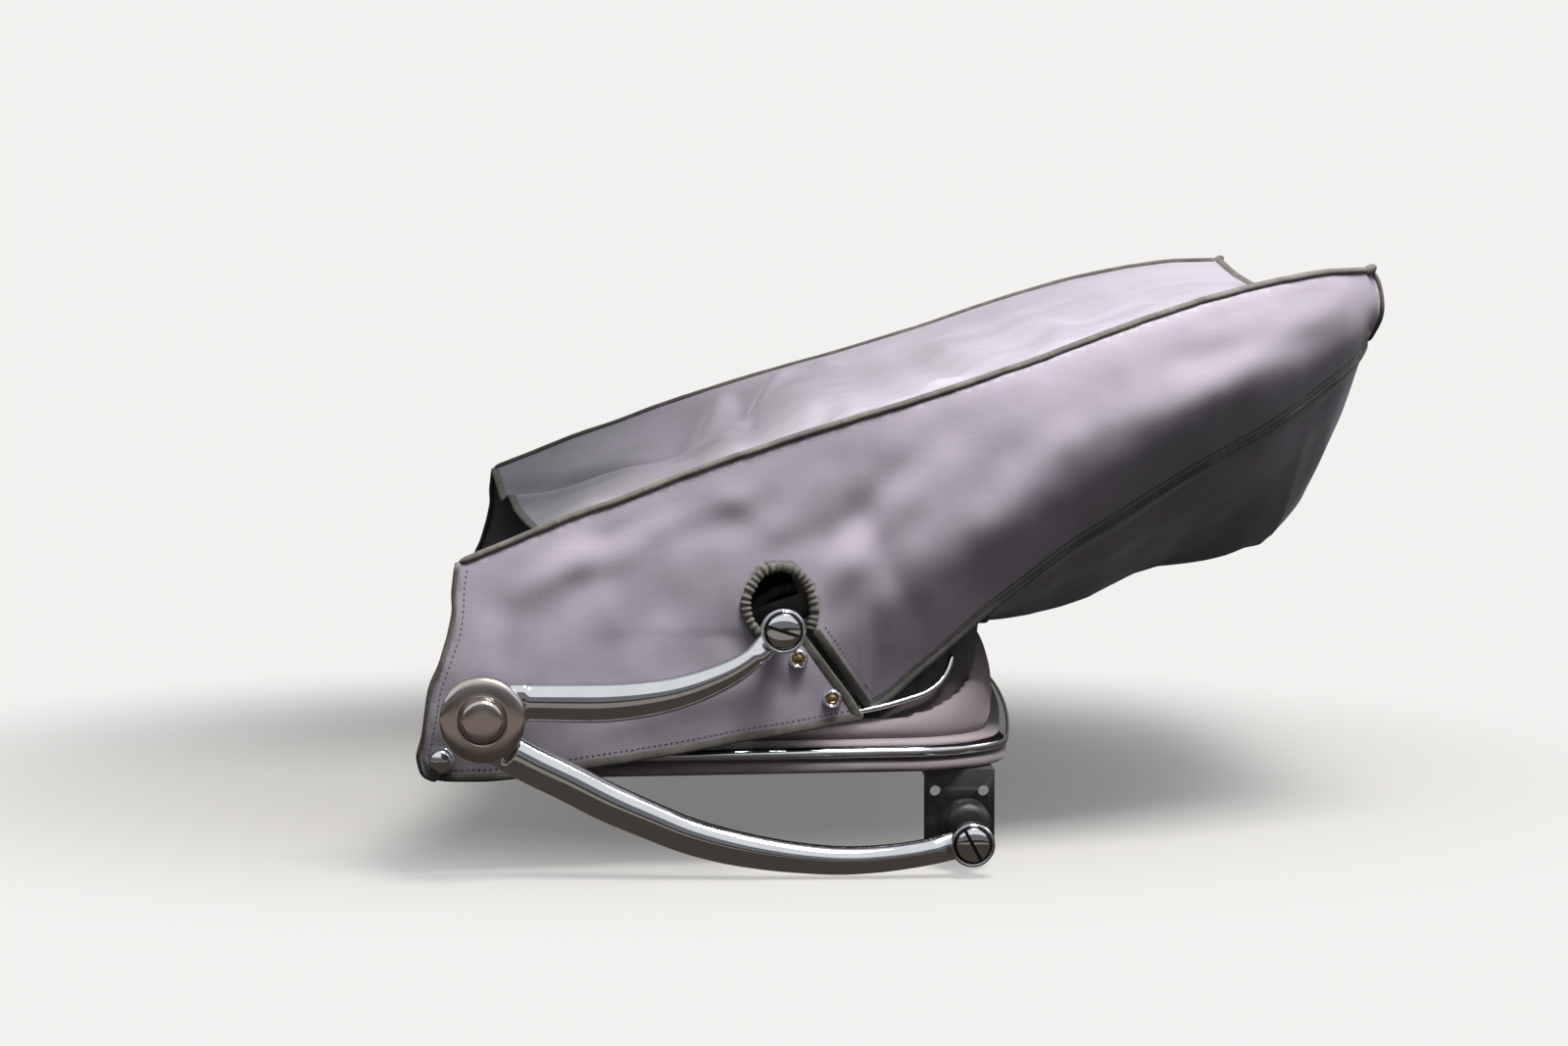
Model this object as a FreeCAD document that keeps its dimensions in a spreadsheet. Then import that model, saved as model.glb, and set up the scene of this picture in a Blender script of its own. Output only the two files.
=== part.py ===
"""Folded hood of an open four-seat car, in its cover, with its two pram irons.

The frame: +X runs to the car's tail, +Y to its right-hand side and +Z up, in millimetres.
The origin is on the seat plane, the underside of the hood's wooden rail, on the car's centreline and midway between
the four bolts that hold the rail down. A side distance is the distance from the centreline, the same left and right.
"""
import FreeCAD, Part
import math
import os

from FreeCAD import Vector

# Driving dimensions. Each row is the name, the size and what it measures, in mm or degrees.
SIZES = [
    ("rail_front", -225, "front end of the rail's legs, along X"),
    ("rail_tail", 252, "rearmost point of the rail's outer face, along X"),
    ("rail_side", 590, "side distance of the rail's outer face at its front end"),
    ("rail_taper", 5.0, "angle by which each leg closes in towards the tail"),
    ("rail_back_bend", 3820, "radius of the rail's bowed back"),
    ("rail_corner", 90, "radius of the rail's outer corners"),
    ("rail_width", 45, "width of the rail"),
    ("rail_height", 24, "height of the rail"),
    ("rail_bolt_x", 100, "distance of the rail's bolts from the origin, along X"),
    ("rail_bolt_inset", 44, "distance of the rail's bolts inside its outer face at the front"),
    ("rail_bolt_bore", 4.5, "radius of the rail's bolt holes"),
    ("moulding_depth", 10, "how far the bright moulding stands out from the rail"),
    ("moulding_height", 12, "height of the bright moulding"),
    ("moulding_level", 17, "height of the moulding's middle above the seat"),
    ("welt_depth", 8, "how far the cloth welt stands out from the rail"),
    ("welt_height", 9, "height of the cloth welt under the moulding"),
    ("collar_inset", 8, "distance of the cloth collar behind the rail's outer face"),
    ("collar_thickness", 9, "thickness of the padded collar"),
    ("collar_height", 20, "height of the collar above the rail along its straight sides"),
    ("collar_peak", 64, "height of the collar above the rail round its back"),
    ("collar_rise", 130, "where the collar begins to rise, along X"),
    ("collar_crest", 222, "where the collar reaches its full height, along X"),
    ("collar_front", -70, "front ends of the padded collar, along X"),
    ("curtain_inset", 21, "distance of the folded curtain behind the rail's outer face"),
    ("curtain_width", 20, "width of the folded curtain roll"),
    ("curtain_height", 34, "height of the folded curtain roll above the rail"),
    ("curtain_front", 40, "front end of the folded curtain roll, along X"),
    ("pivot_x", -165, "main pivot of the folded frame, along X"),
    ("pivot_z", 60, "main pivot of the folded frame, above the seat"),
    ("pivot_pin", 8, "radius of the main pivot pin"),
    ("pivot_head", 13, "radius of the main pivot pin's head"),
    ("pivot_head_depth", 6, "thickness of the main pivot pin's head"),
    ("running_gap", 0.08, "radial clearance of a pin in its bore"),
    ("face_gap", 0.3, "clearance between faces that slide on each other"),
    ("ear_inset", 34, "distance of the pivot bracket's ear inside the rail's outer face"),
    ("ear_thickness", 8, "thickness of the pivot bracket's ear"),
    ("ear_width", 40, "width of the pivot bracket's ear, along X"),
    ("foot_length", 90, "length of the pivot bracket's foot, along X"),
    ("foot_thickness", 6, "thickness of the pivot bracket's foot"),
    ("foot_width", 30, "width of the pivot bracket's foot, across the rail"),
    ("foot_bore", 3.5, "radius of the screw holes in the pivot bracket's foot"),
    ("foot_screw_pitch", 66, "distance between the screw holes in the foot"),
    ("lever_thickness", 8, "thickness of the main lever"),
    ("lever_width", 30, "width of the main lever's bar"),
    ("lever_end", 112, "rear end of the main lever, along X"),
    ("fan_top", 224, "top of the fan plate that the bows are riveted to, above the seat"),
    ("fan_width", 46, "width of the fan plate, along X"),
    ("knuckle_x", -204, "pram iron's middle joint, along X"),
    ("knuckle_z", 59, "pram iron's middle joint, above the seat"),
    ("upper_eye_x", 34, "pram iron's upper pivot, along X"),
    ("upper_eye_z", 127, "pram iron's upper pivot, above the seat"),
    ("lower_eye_x", 185, "pram iron's lower pivot, along X"),
    ("lower_eye_z", -45, "pram iron's lower pivot, below the seat"),
    ("iron_standoff", 60, "distance of the pram iron's inner face outside the rail's outer face"),
    ("arm_depth", 16, "thickness of the pram iron, across the car"),
    ("arm_width", 31, "widest part of each arm of the pram iron"),
    ("knuckle_radius", 34, "radius of the round plates at the middle joint"),
    ("lap_gap", 1.5, "radial clearance of the lapped plates at the middle joint"),
    ("knuckle_plate", 15.7, "thickness of the outer plate at the middle joint"),
    ("knuckle_pin", 7, "radius of the middle joint's pin"),
    ("cap_radius", 16.5, "radius of the middle joint's raised cap"),
    ("cap_depth", 8, "height of the middle joint's raised cap"),
    ("eye_radius", 18, "radius of the eyes at the outer ends of the arms"),
    ("screw_shank", 5, "radius of the pivot screws' shanks"),
    ("screw_head", 12.5, "radius of the pivot screws' heads"),
    ("screw_head_depth", 6, "thickness of the pivot screws' heads"),
    ("screw_grip", 35, "length of the pivot screws' shanks beyond the pram iron's inner face"),
    ("eye_round", 3, "rounding of the eyes' outer edges"),
    ("knuckle_step", 1.5, "how much smaller the arms' plates are than the plate that covers them"),
    ("plate_round", 2.5, "rounding of the cover plate's outer edge at the middle joint"),
    ("cap_round", 2, "rounding of the raised cap's edge"),
    ("screw_slot", 2.6, "width of the slot in each pivot screw"),
    ("upper_slot_turn", 18, "angle of the upper pivot screw's slot below the level"),
    ("lower_slot_turn", 62, "angle of the lower pivot screw's slot below the level"),
    ("screw_slot_depth", 2.2, "depth of the slot in each pivot screw"),
    ("open_eye_gap", 2.2, "radial clearance of the upper eye, where the closed linkage is opened"),
    ("spacer_radius", 9.5, "radius of the spacer that carries the upper pivot"),
    ("hanger_thickness", 6, "thickness of the plates of the lower pivot's bracket"),
    ("hanger_length", 58, "length of the lower pivot's bracket, along X"),
    ("hanger_inset", 44, "distance of the hanging plate inside the rail's outer face"),
    ("hanger_flange", 42, "width of the flange under the rail"),
    ("hanger_drop", 70, "how far the lower pivot's bracket reaches below the seat"),
    ("hanger_bore", 4.5, "radius of the bolt holes in the lower pivot's bracket"),
    ("hanger_edge", 9, "distance of the bolt holes from the ends of the lower pivot's bracket"),
    ("hanger_bolt_drop", 18, "distance of those holes below the seat"),
    ("boss_radius", 14, "radius of the lower pivot bracket's boss"),
    ("boss_setback", 50, "distance from the pram iron's inner face to the boss and its pad"),
    ("pad_radius", 20, "radius of the rubber pad behind the lower eye"),
    ("pad_depth", 28, "thickness of the rubber pad"),
    ("spigot_radius", 9.5, "radius of the bracket's spigot through the pad"),
    ("pad_rise", 9, "how far the rubber pad's centre lies above the lower pivot"),
    ("cover_wall", 4, "thickness of the cover's cloth with its lining"),
    ("cover_fullness", 13, "how far the cover's sides stand out between their seams"),
    ("seam_gap", 0.2, "distance between the cover's panels at their seams"),
    ("cover_scoop", 62, "how far the cover's top is cut back at its front edge"),
    ("hole_x", 35, "centre of the hole for the pram iron, along X"),
    ("hole_z", 144, "centre of the hole for the pram iron, above the seat"),
    ("hole_radius", 28, "radius of the hole for the pram iron"),
    ("slit_width", 6, "width of the slit below the hole"),
    ("stud_radius", 7.8, "radius of the press studs beside the slit"),
    ("stud_height", 4, "height of the press studs"),
    ("ball_radius", 9.5, "radius of the round fastener at the cover's lower front corner"),
    ("bow_width", 24, "width of a bow's section, along its plane"),
    ("bow_depth", 15, "depth of a bow's section, square to its plane"),
    ("bow_corner", 120, "radius of the bows' corners"),
    ("bow_back_bend", 2600, "radius of the bows' bowed backs"),
    ("bow_taper", 9.5, "angle by which each bow closes in towards the tail"),
    ("header_width", 34, "width of the header rail, along X"),
    ("header_height", 22, "height of the header rail"),
    ("header_inset", 95, "distance of the header rail's ends inside the bows' front ends"),
    ("header_setback", 124, "distance of the header rail's front face before the lowest bow's back"),
    ("side_rail_width", 22, "width of the folded side rails"),
    ("side_rail_depth", 12, "thickness of the folded side rails"),
    ("stack_x", 62, "front of the stack of bows, along X"),
    ("stack_z", 124, "underside of the stack of bows at its front, above the seat"),
    ("stack_angle", 22.8, "slope of the stack of bows"),
    ("bow_inset", 11, "distance of the bows' front ends inside the pivot bracket's ear"),
    ("bow_length", 446, "length of the lowest bow, from the front of the stack"),
    ("bow_step", 9, "how much further back each higher bow reaches"),
    ("cloth_layer", 10, "thickness of the folded cloth between two bows"),
    ("cloth_inset", 8, "distance of the folded cloth behind the bow's outer face"),
    ("socket_length", 48, "length of the socket that grips the bows' ends"),
    ("socket_depth", 33, "depth of the socket inside the bows' outer faces"),
]

# The tables of the soft parts are shares. A place along the car is counted from the front of the stack of bows: as a
# share of the lowest bow's length behind it, and as a share of the rail's leg before it, where it is negative. A
# height is counted from the slope of the stack's underside, as a share of the height of three bows with their cloth.
# A side distance is a share of the rail's.

# The cover's cross-sections from the front to the tail: place along, height and side distance of the top seam, how
# far the top sags between the seams and over the folds below it, height and side distance at which the side panel ends or is cut.
COVER_STATIONS = [
    (-1.129, 2.376, 1.071, 0.880, -0.024, 1.064),
    (-0.774, 2.324, 1.054, 0.800, -0.596, 1.047),
    (-0.599, 2.284, 1.045, 0.640, -0.876, 1.037),
    (-0.425, 2.244, 1.036, 0.587, -1.156, 1.027),
    (-0.286, 2.199, 1.028, 0.680, -1.380, 1.019),
    (-0.164, 2.160, 1.021, 0.440, -1.577, 1.012),
    (-0.059, 2.122, 1.014, 0.480, -1.745, 1.006),
    (0.040, 2.067, 1.003, 0.240, -1.941, 0.996),
    (0.103, 2.022, 0.995, 0.187, -2.098, 0.988),
    (0.197, 1.958, 0.982, 0.267, -1.758, 0.965),
    (0.265, 1.912, 0.973, 0.213, -1.515, 0.947),
    (0.343, 1.862, 0.959, 0.267, -1.111, 0.923),
    (0.422, 1.813, 0.948, 0.160, -0.707, 0.911),
    (0.511, 1.774, 0.929, 0.240, -0.604, 0.892),
    (0.590, 1.739, 0.914, 0.173, -0.514, 0.877),
    (0.673, 1.683, 0.892, 0.253, -0.419, 0.855),
    (0.758, 1.626, 0.870, 0.187, -0.321, 0.833),
    (0.926, 1.419, 0.807, 0.267, -0.181, 0.770),
    (1.027, 1.233, 0.756, 0.320, -0.060, 0.719),
    (1.103, 0.976, 0.699, 0.373, 0.202, 0.662),
]

# How the cover's sides stand out between their seams: share of the way down, share of the fullness, share of the way
# from the upper seam's side distance to the lower edge's. They roll over below the upper seam and under at the lower.
SIDE_PROFILE = [(0, 0, 0), (0.1, 0.55, 0), (0.3, 1, 0.02), (0.55, 0.75, 0.25), (0.8, 0.3, 0.65), (1, 0, 1)]

# How full the sides are along the cover: place along, share of the fullness.
SIDE_FULLNESS = [(-1.2, 0.4), (0.1, 0.4), (0.4, 1), (1.2, 1)]

# The cover's underside behind the rail: place along, height of its seam with the sides, lowest height between.
COVER_BELLY = [
    (0.368, -0.719, -1.267), (0.466, -0.575, -1.512), (0.590, -0.394, -1.701), (0.673, -0.319, -1.721),
    (0.758, -0.241, -1.761), (0.926, -0.115, -2.101), (1.027, 0.006, -2.234), (1.094, 0.225, -2.121),
]

# The cover's side as it is cut, seen from the side: place along and height of each corner. The first is the top of
# the front edge, and from the slit's foot to the tail the corners follow the seam with the underside.
COVER_SIDE = [
    (-0.997, 2.336), (-0.997, 7.950), (1.430, 2.771), (1.430, 0.691), (1.103, 0.256), (1.027, 0.006),
    (0.926, -0.115), (0.758, -0.241), (0.590, -0.394), (0.368, -0.719), (0.103, -1.231), (0.092, -1.270),
    (-0.362, -0.764), (-0.801, -0.284), (-1.056, 0.085), (-1.098, 0.272), (-1.108, 0.476), (-1.052, 1.319),
    (-1.010, 1.839),
]

# The slit runs from the hole down to the lower edge: place along and height of its two ends.
SLIT = [(-0.035, 0.029), (0.112, -1.427)]

# Each press stud: place along and height. Then the round fastener at the lower front corner.
PRESS_STUDS = [(-0.045, -0.354), (0.018, -0.805)]
BALL_STUD = (-1.049, 0.300)

# The folded curtain that lies under the bows: place along, side distance, height of its lower edge and lowest height
# between.
BUNDLE = [
    (0.197, 0.856, -0.520, -0.760), (0.399, 0.831, -0.651, -1.398), (0.578, 0.797, -0.433, -1.779),
    (0.758, 0.763, -0.348, -1.935), (0.915, 0.703, -0.273, -2.233), (1.072, 0.644, -0.332, -2.439),
]

# The collar's upper edge where it rises to its back: share of the way and of the height.
COLLAR_RISE = [(0, 0), (0.33, 0.14), (0.63, 0.41), (0.82, 0.64), (1, 1)]

# Each arm's centre line between its two joints: share of the way, rise above the chord as a share of its length,
# height of the section as a share of the arm's widest part.
UPPER_ARM = [
    (0.067, 0.027, 0.94), (0.156, 0.002, 0.97), (0.276, -0.035, 1.00), (0.396, -0.069, 1.00),
    (0.520, -0.092, 0.94), (0.648, -0.101, 0.84), (0.781, -0.089, 0.71), (0.877, -0.063, 0.61),
    (0.970, -0.016, 0.61),
]
LOWER_ARM = [
    (0.035, -0.045, 1.00), (0.110, -0.066, 1.00), (0.194, -0.083, 1.00), (0.279, -0.102, 1.00),
    (0.362, -0.115, 0.97), (0.445, -0.126, 0.94), (0.525, -0.128, 0.90), (0.606, -0.123, 0.84),
    (0.683, -0.113, 0.77), (0.759, -0.098, 0.74), (0.833, -0.075, 0.71), (0.904, -0.046, 0.74),
    (0.980, -0.010, 0.74),
]

doc = FreeCAD.newDocument("folded_hood")
sheet = doc.addObject("Spreadsheet::Sheet", "Sizes")
for row, (alias, value, note) in enumerate(SIZES, 1):
    sheet.set(f"A{row}", alias)
    sheet.set(f"B{row}", str(value))
    sheet.set(f"C{row}", note)
    sheet.setAlias(f"B{row}", alias)
doc.recompute()

pieces = []

# Side distances that hang together: each follows from the rail's, as an expression for the sheet's names.
EAR = "(Sizes.rail_side - Sizes.ear_inset)"
IRON = "(Sizes.rail_side + Sizes.iron_standoff)"
BOSS = f"({IRON} - Sizes.boss_setback)"
HANGER = "(Sizes.rail_side - Sizes.hanger_inset)"


def size(alias):
    """The number in the sheet's cell of that name."""
    return float(sheet.get(alias))


def ear_side():
    """Side distance of the inner face of the pivot bracket's ear."""
    return size("rail_side") - size("ear_inset")


def iron_side():
    """Side distance of the pram iron's inner face."""
    return size("rail_side") + size("iron_standoff")


def bow_side():
    """Side distance of the bows' outer faces at their front ends."""
    return ear_side() - size("bow_inset")


def stack_height(levels):
    """Height of a number of bows with their cloth."""
    return levels * (size("bow_depth") + size("cloth_layer"))


def drawn(share, height):
    """A place of the tables above, in millimetres."""
    slope = math.tan(math.radians(size("stack_angle")))
    reach = size("bow_length") if share > 0 else size("stack_x") - size("rail_front")
    x = size("stack_x") + share * reach
    return x, size("stack_z") + slope * (x - size("stack_x")) + height * stack_height(3)


def drawn_side(share):
    """A side distance of the tables above, in millimetres."""
    return share * size("rail_side")


def drawn_length(share):
    """A sag of the tables above, in millimetres."""
    return share * stack_height(3)


def drawn_points(points):
    """Several places of the tables above, in millimetres."""
    return [drawn(share, height) for share, height in points]


def piece(obj, label):
    """Marks a finished object as one sub-part of the assembly."""
    obj.Label = label
    pieces.append(obj)
    return obj


def solid(shape, label):
    """A sub-part whose form is worked out here from the sheet's sizes."""
    obj = doc.addObject("Part::Feature", label + "_form")
    obj.Shape = shape
    return piece(obj, label)


def bind(obj, **cells):
    """Ties properties of an object to expressions in the sheet's names. A double underscore stands for a dot."""
    for name, expression in cells.items():
        obj.setExpression(name.replace("__", "."), expression)
    return obj


def rod(label, radius, inner, outer, x, z):
    """A cylinder across the car on the left side, from one side distance to another. All are sheet expressions."""
    obj = doc.addObject("Part::Cylinder", label)
    obj.Placement.Rotation = FreeCAD.Rotation(Vector(1, 0, 0), 90)
    bind(obj, Radius=radius, Height=f"({outer}) - ({inner})")
    bind(obj, Placement__Base__x=x, Placement__Base__y=f"-({inner})", Placement__Base__z=z)
    return obj


def block(label, low_x, length, low_side, width, low_z, height):
    """A box on the left side, from its low X, its inner side distance and its low Z. All are sheet expressions."""
    obj = doc.addObject("Part::Box", label)
    bind(obj, Length=length, Width=width, Height=height)
    bind(obj, Placement__Base__x=low_x, Placement__Base__y=f"-({low_side}) - ({width})", Placement__Base__z=low_z)
    return obj


def fuse(label, *objects):
    """One solid out of several that touch."""
    obj = doc.addObject("Part::MultiFuse", label)
    obj.Shapes = list(objects)
    obj.Refine = True
    return obj


def cut(label, base, *tools):
    """The base without the tools."""
    for number, tool in enumerate(tools):
        step = doc.addObject("Part::Cut", f"{label}_cut_{number}")
        step.Base, step.Tool = base, tool
        base = step
    return base


def both_sides(obj, label):
    """A left-hand sub-part and its mirror image on the right."""
    piece(obj, label + "_left")
    other = doc.addObject("Part::Mirroring", label + "_mirrored")
    other.Source = obj
    other.Normal = Vector(0, 1, 0)
    return piece(other, label + "_right")


def mirrored(shape):
    """The same shape on the other side of the car."""
    return shape.mirror(Vector(0, 0, 0), Vector(0, 1, 0))


def hoop(front_x, side, taper, back_x, back_bend, corner, inset):
    """The points of a U-shaped line in plan, leg, corner, back, corner and leg, moved inwards by an inset.

    The corners are arcs tangent to the straight legs and to the bowed back, so every inset keeps their centres.
    """
    lean = math.radians(taper)
    along = Vector(math.cos(lean), math.sin(lean), 0)
    inward = Vector(-math.sin(lean), math.cos(lean), 0)
    start = Vector(front_x, -side, 0)
    back_centre = Vector(back_x - back_bend, 0, 0)
    base = start + inward * corner - back_centre
    reach = back_bend - corner
    half = base.dot(along)
    travel = -half + math.sqrt(half * half - base.dot(base) + reach * reach)
    centre = start + inward * corner + along * travel
    outward = (centre - back_centre).normalize()
    radius = corner - inset
    leg_start = start + inward * inset
    leg_start = leg_start + along * ((front_x - leg_start.x) / along.x)
    leg_end = centre - inward * radius
    turn_end = centre + outward * radius
    turn_middle = centre + (outward - inward).normalize() * radius
    back_middle = Vector(back_x - inset, 0, 0)
    near = [leg_start, leg_end, turn_middle, turn_end]
    far = [Vector(p.x, -p.y, 0) for p in reversed(near)]
    return near, back_middle, far


def hoop_edges(near, back_middle, far, level=lambda p: Vector(p.x, p.y, 0)):
    """The edges of a U-shaped line, each point raised to its place by a function."""
    a, b, c, d = (level(p) for p in near)
    e, f, g, h = (level(p) for p in far)
    return [
        Part.LineSegment(a, b).toShape(),
        Part.Arc(b, c, d).toShape(),
        Part.Arc(d, level(back_middle), e).toShape(),
        Part.Arc(e, f, g).toShape(),
        Part.LineSegment(g, h).toShape(),
    ]


def rail_line(inset, front="rail_front"):
    """The rail's outline in plan, moved inwards from its outer face."""
    near, middle, far = hoop(
        size("rail_front"), size("rail_side"), size("rail_taper"), size("rail_tail"),
        size("rail_back_bend"), size("rail_corner"), inset,
    )
    if front != "rail_front":
        leg, end = near[0], near[1]
        share = (size(front) - leg.x) / (end.x - leg.x)
        near[0] = leg + (end - leg) * share
        far[-1] = Vector(near[0].x, -near[0].y, 0)
    return near, middle, far


def band(outer_inset, inner_inset, low, high, front="rail_front"):
    """A flat band that follows the rail between two insets and two heights."""
    outer = hoop_edges(*rail_line(outer_inset, front))
    inner = hoop_edges(*rail_line(inner_inset, front))
    ends = [
        Part.LineSegment(outer[0].Vertexes[0].Point, inner[0].Vertexes[0].Point).toShape(),
        Part.LineSegment(outer[-1].Vertexes[-1].Point, inner[-1].Vertexes[-1].Point).toShape(),
    ]
    face = Part.Face(Part.Wire(Part.__sortEdges__(outer + inner + ends)))
    face.translate(Vector(0, 0, low))
    return face.extrude(Vector(0, 0, high - low))


def make_rail():
    """The steam-bent ash rail that the hood's lower edge is tacked to, with its four bolt holes."""
    body = doc.addObject("PartDesign::Body", "rail_body")
    plane = next(f for f in body.Origin.OriginFeatures if f.Role == "XY_Plane")
    plan = body.newObject("Sketcher::SketchObject", "rail_plan")
    plan.AttachmentSupport, plan.MapMode = (plane, [""]), "FlatFace"
    outer, inner = rail_line(0), rail_line(size("rail_width"))
    for near, middle, far in (outer, inner):
        a, b, c, d = near
        e, f, g, h = far
        plan.addGeometry(Part.LineSegment(a, b), False)
        plan.addGeometry(Part.Arc(b, c, d), False)
        plan.addGeometry(Part.Arc(d, middle, e), False)
        plan.addGeometry(Part.Arc(e, f, g), False)
        plan.addGeometry(Part.LineSegment(g, h), False)
    plan.addGeometry(Part.LineSegment(outer[0][0], inner[0][0]), False)
    plan.addGeometry(Part.LineSegment(outer[2][3], inner[2][3]), False)
    pad = body.newObject("PartDesign::Pad", "rail_pad")
    pad.Profile = plan
    bind(pad, Length="Sizes.rail_height")
    doc.recompute()
    bores = body.newObject("Sketcher::SketchObject", "rail_bores")
    bores.AttachmentSupport, bores.MapMode = (plane, [""]), "FlatFace"
    for sign_x in (-1, 1):
        for sign_y in (-1, 1):
            spot = Vector(sign_x * size("rail_bolt_x"), sign_y * (size("rail_side") - size("rail_bolt_inset")), 0)
            number = bores.addGeometry(Part.Circle(spot, Vector(0, 0, 1), size("rail_bolt_bore")), False)
            radius = bores.addConstraint(Sketcher_radius(number, size("rail_bolt_bore")))
            bores.setExpression(f"Constraints[{radius}]", "Sizes.rail_bolt_bore")
    pocket = body.newObject("PartDesign::Pocket", "rail_bore_cut")
    pocket.Profile = bores
    pocket.Type, pocket.Reversed = "ThroughAll", True
    return piece(body, "tack_rail")


def Sketcher_radius(number, radius):
    """A radius constraint on one circle of a sketch."""
    import Sketcher

    return Sketcher.Constraint("Radius", number, radius)


def make_moulding():
    """The bright half-round moulding round the rail's outer face."""
    line = rail_line(0)
    level = size("moulding_level")
    path = Part.Wire(hoop_edges(*line, level=lambda p: Vector(p.x, p.y, level)))
    start, along = line[0][0], (line[0][1] - line[0][0]).normalize()
    outward = Vector(along.y, -along.x, 0)
    half = Vector(0, 0, size("moulding_height") / 2)
    middle = Vector(start.x, start.y, level)
    crown = middle + outward * size("moulding_depth")
    section = Part.Wire([
        Part.Arc(middle - half, crown, middle + half).toShape(),
        Part.LineSegment(middle + half, middle - half).toShape(),
    ])
    return solid(path.makePipeShell([section], True, False), "belt_moulding")


def make_cloth_border():
    """The cloth welt under the moulding, the padded collar above it and the folded curtain inside the collar."""
    solid(band(-size("welt_depth"), 0, 0, size("welt_height")), "border_welt")
    top = size("rail_height")
    inset, thickness = size("collar_inset"), size("collar_thickness")
    low, high, start, end = (size(name) for name in ("collar_height", "collar_peak", "collar_rise", "collar_crest"))
    rise = [(start + (end - start) * along, top + low + (high - low) * up) for along, up in COLLAR_RISE]
    outline = [(size("rail_front"), 0), (size("rail_front"), top + low), *rise]
    outline += [(size("rail_tail") + thickness, top + high), (size("rail_tail") + thickness, 0)]
    collar = band(inset, inset + thickness, top, top + high, "collar_front").common(through(outline))
    solid(collar, "collar")
    inset, width = size("curtain_inset"), size("curtain_width")
    roll = band(inset, inset + width, top, top + size("curtain_height"), "curtain_front")
    upper = [e for e in roll.Edges if e.BoundBox.ZMin > top + size("curtain_height") - 0.01 and e.Length > width + 5]
    solid(roll.makeFillet(width * 0.35, upper), "curtain_roll")


def make_pivot_brackets():
    """The bracket on each leg of the rail that carries the frame's main pivot, with its two screw holes."""
    foot = block(
        "foot", "Sizes.pivot_x - Sizes.foot_length / 2", "Sizes.foot_length",
        f"{EAR} - Sizes.foot_width / 2", "Sizes.foot_width", "Sizes.rail_height", "Sizes.foot_thickness",
    )
    ear = block(
        "ear", "Sizes.pivot_x - Sizes.ear_width / 2", "Sizes.ear_width", EAR, "Sizes.ear_thickness",
        "Sizes.rail_height", "Sizes.pivot_z - Sizes.rail_height",
    )
    ear_end = f"{EAR} + Sizes.ear_thickness"
    top = rod("ear_top", "Sizes.ear_width / 2", EAR, ear_end, "Sizes.pivot_x", "Sizes.pivot_z")
    bore = rod(
        "ear_bore", "Sizes.pivot_pin + Sizes.running_gap", f"{EAR} - 1", ear_end + " + 1",
        "Sizes.pivot_x", "Sizes.pivot_z",
    )
    holes = []
    for number, sign in enumerate(("-", "+")):
        hole = doc.addObject("Part::Cylinder", f"foot_hole_{number}")
        bind(hole, Radius="Sizes.foot_bore", Height="Sizes.foot_thickness + 2")
        bind(
            hole, Placement__Base__x=f"Sizes.pivot_x {sign} Sizes.foot_screw_pitch / 2",
            Placement__Base__y=f"-{EAR}", Placement__Base__z="Sizes.rail_height - 1",
        )
        holes.append(hole)
    both_sides(cut("pivot_bracket", fuse("pivot_bracket_blank", foot, ear, top), bore, *holes), "pivot_bracket")


def lever_inner():
    """Side distance of the main lever's inner face."""
    return ear_side() + size("ear_thickness") + size("face_gap")


def extruded(points, inner, thickness):
    """A flat plate on the left side: its outline seen from the side, its inner face and its thickness."""
    corners = [Vector(x, -inner, z) for x, z in points]
    face = Part.Face(Part.makePolygon(corners + corners[:1]))
    return face.extrude(Vector(0, -thickness, 0))


def cylinder(radius, inner, outer, x, z):
    """A cylinder across the car on the left side, between two side distances."""
    return Part.makeCylinder(radius, outer - inner, Vector(x, -inner, z), Vector(0, -1, 0))


def lever_direction():
    """The unit vector from the main pivot to the upper eye, seen from the side, and its normal."""
    dx, dz = size("upper_eye_x") - size("pivot_x"), size("upper_eye_z") - size("pivot_z")
    length = math.hypot(dx, dz)
    return dx / length, dz / length


def make_pivot_pins():
    """The main pivot pin on each side, through the bracket's ear and the lever, with its round head."""
    inner = f"{EAR} - 4"
    head = f"{EAR} + Sizes.ear_thickness + Sizes.face_gap * 2 + Sizes.lever_thickness"
    shank = rod("pin_shank", "Sizes.pivot_pin", inner, head, "Sizes.pivot_x", "Sizes.pivot_z")
    knob = rod(
        "pin_head", "Sizes.pivot_head", head, head + " + Sizes.pivot_head_depth", "Sizes.pivot_x", "Sizes.pivot_z",
    )
    both_sides(fuse("pivot_pin_whole", shank, knob), "pivot_pin")


def arm_section(x, z, dx, dz, height, inner):
    """A D-shaped section square to the arm: flat towards the car, round outside."""
    up = Vector(-dz, 0, dx) * (height / 2)
    middle = Vector(x, -inner, z)
    quarter = Vector(0, -size("arm_depth") * 0.42, 0)
    crown = Vector(0, -size("arm_depth"), 0)
    return Part.Wire([
        Part.LineSegment(middle + up, middle - up).toShape(),
        Part.LineSegment(middle - up, middle - up + quarter).toShape(),
        Part.Arc(middle - up + quarter, middle + crown, middle + up + quarter).toShape(),
        Part.LineSegment(middle + up + quarter, middle + up).toShape(),
    ])


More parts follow.
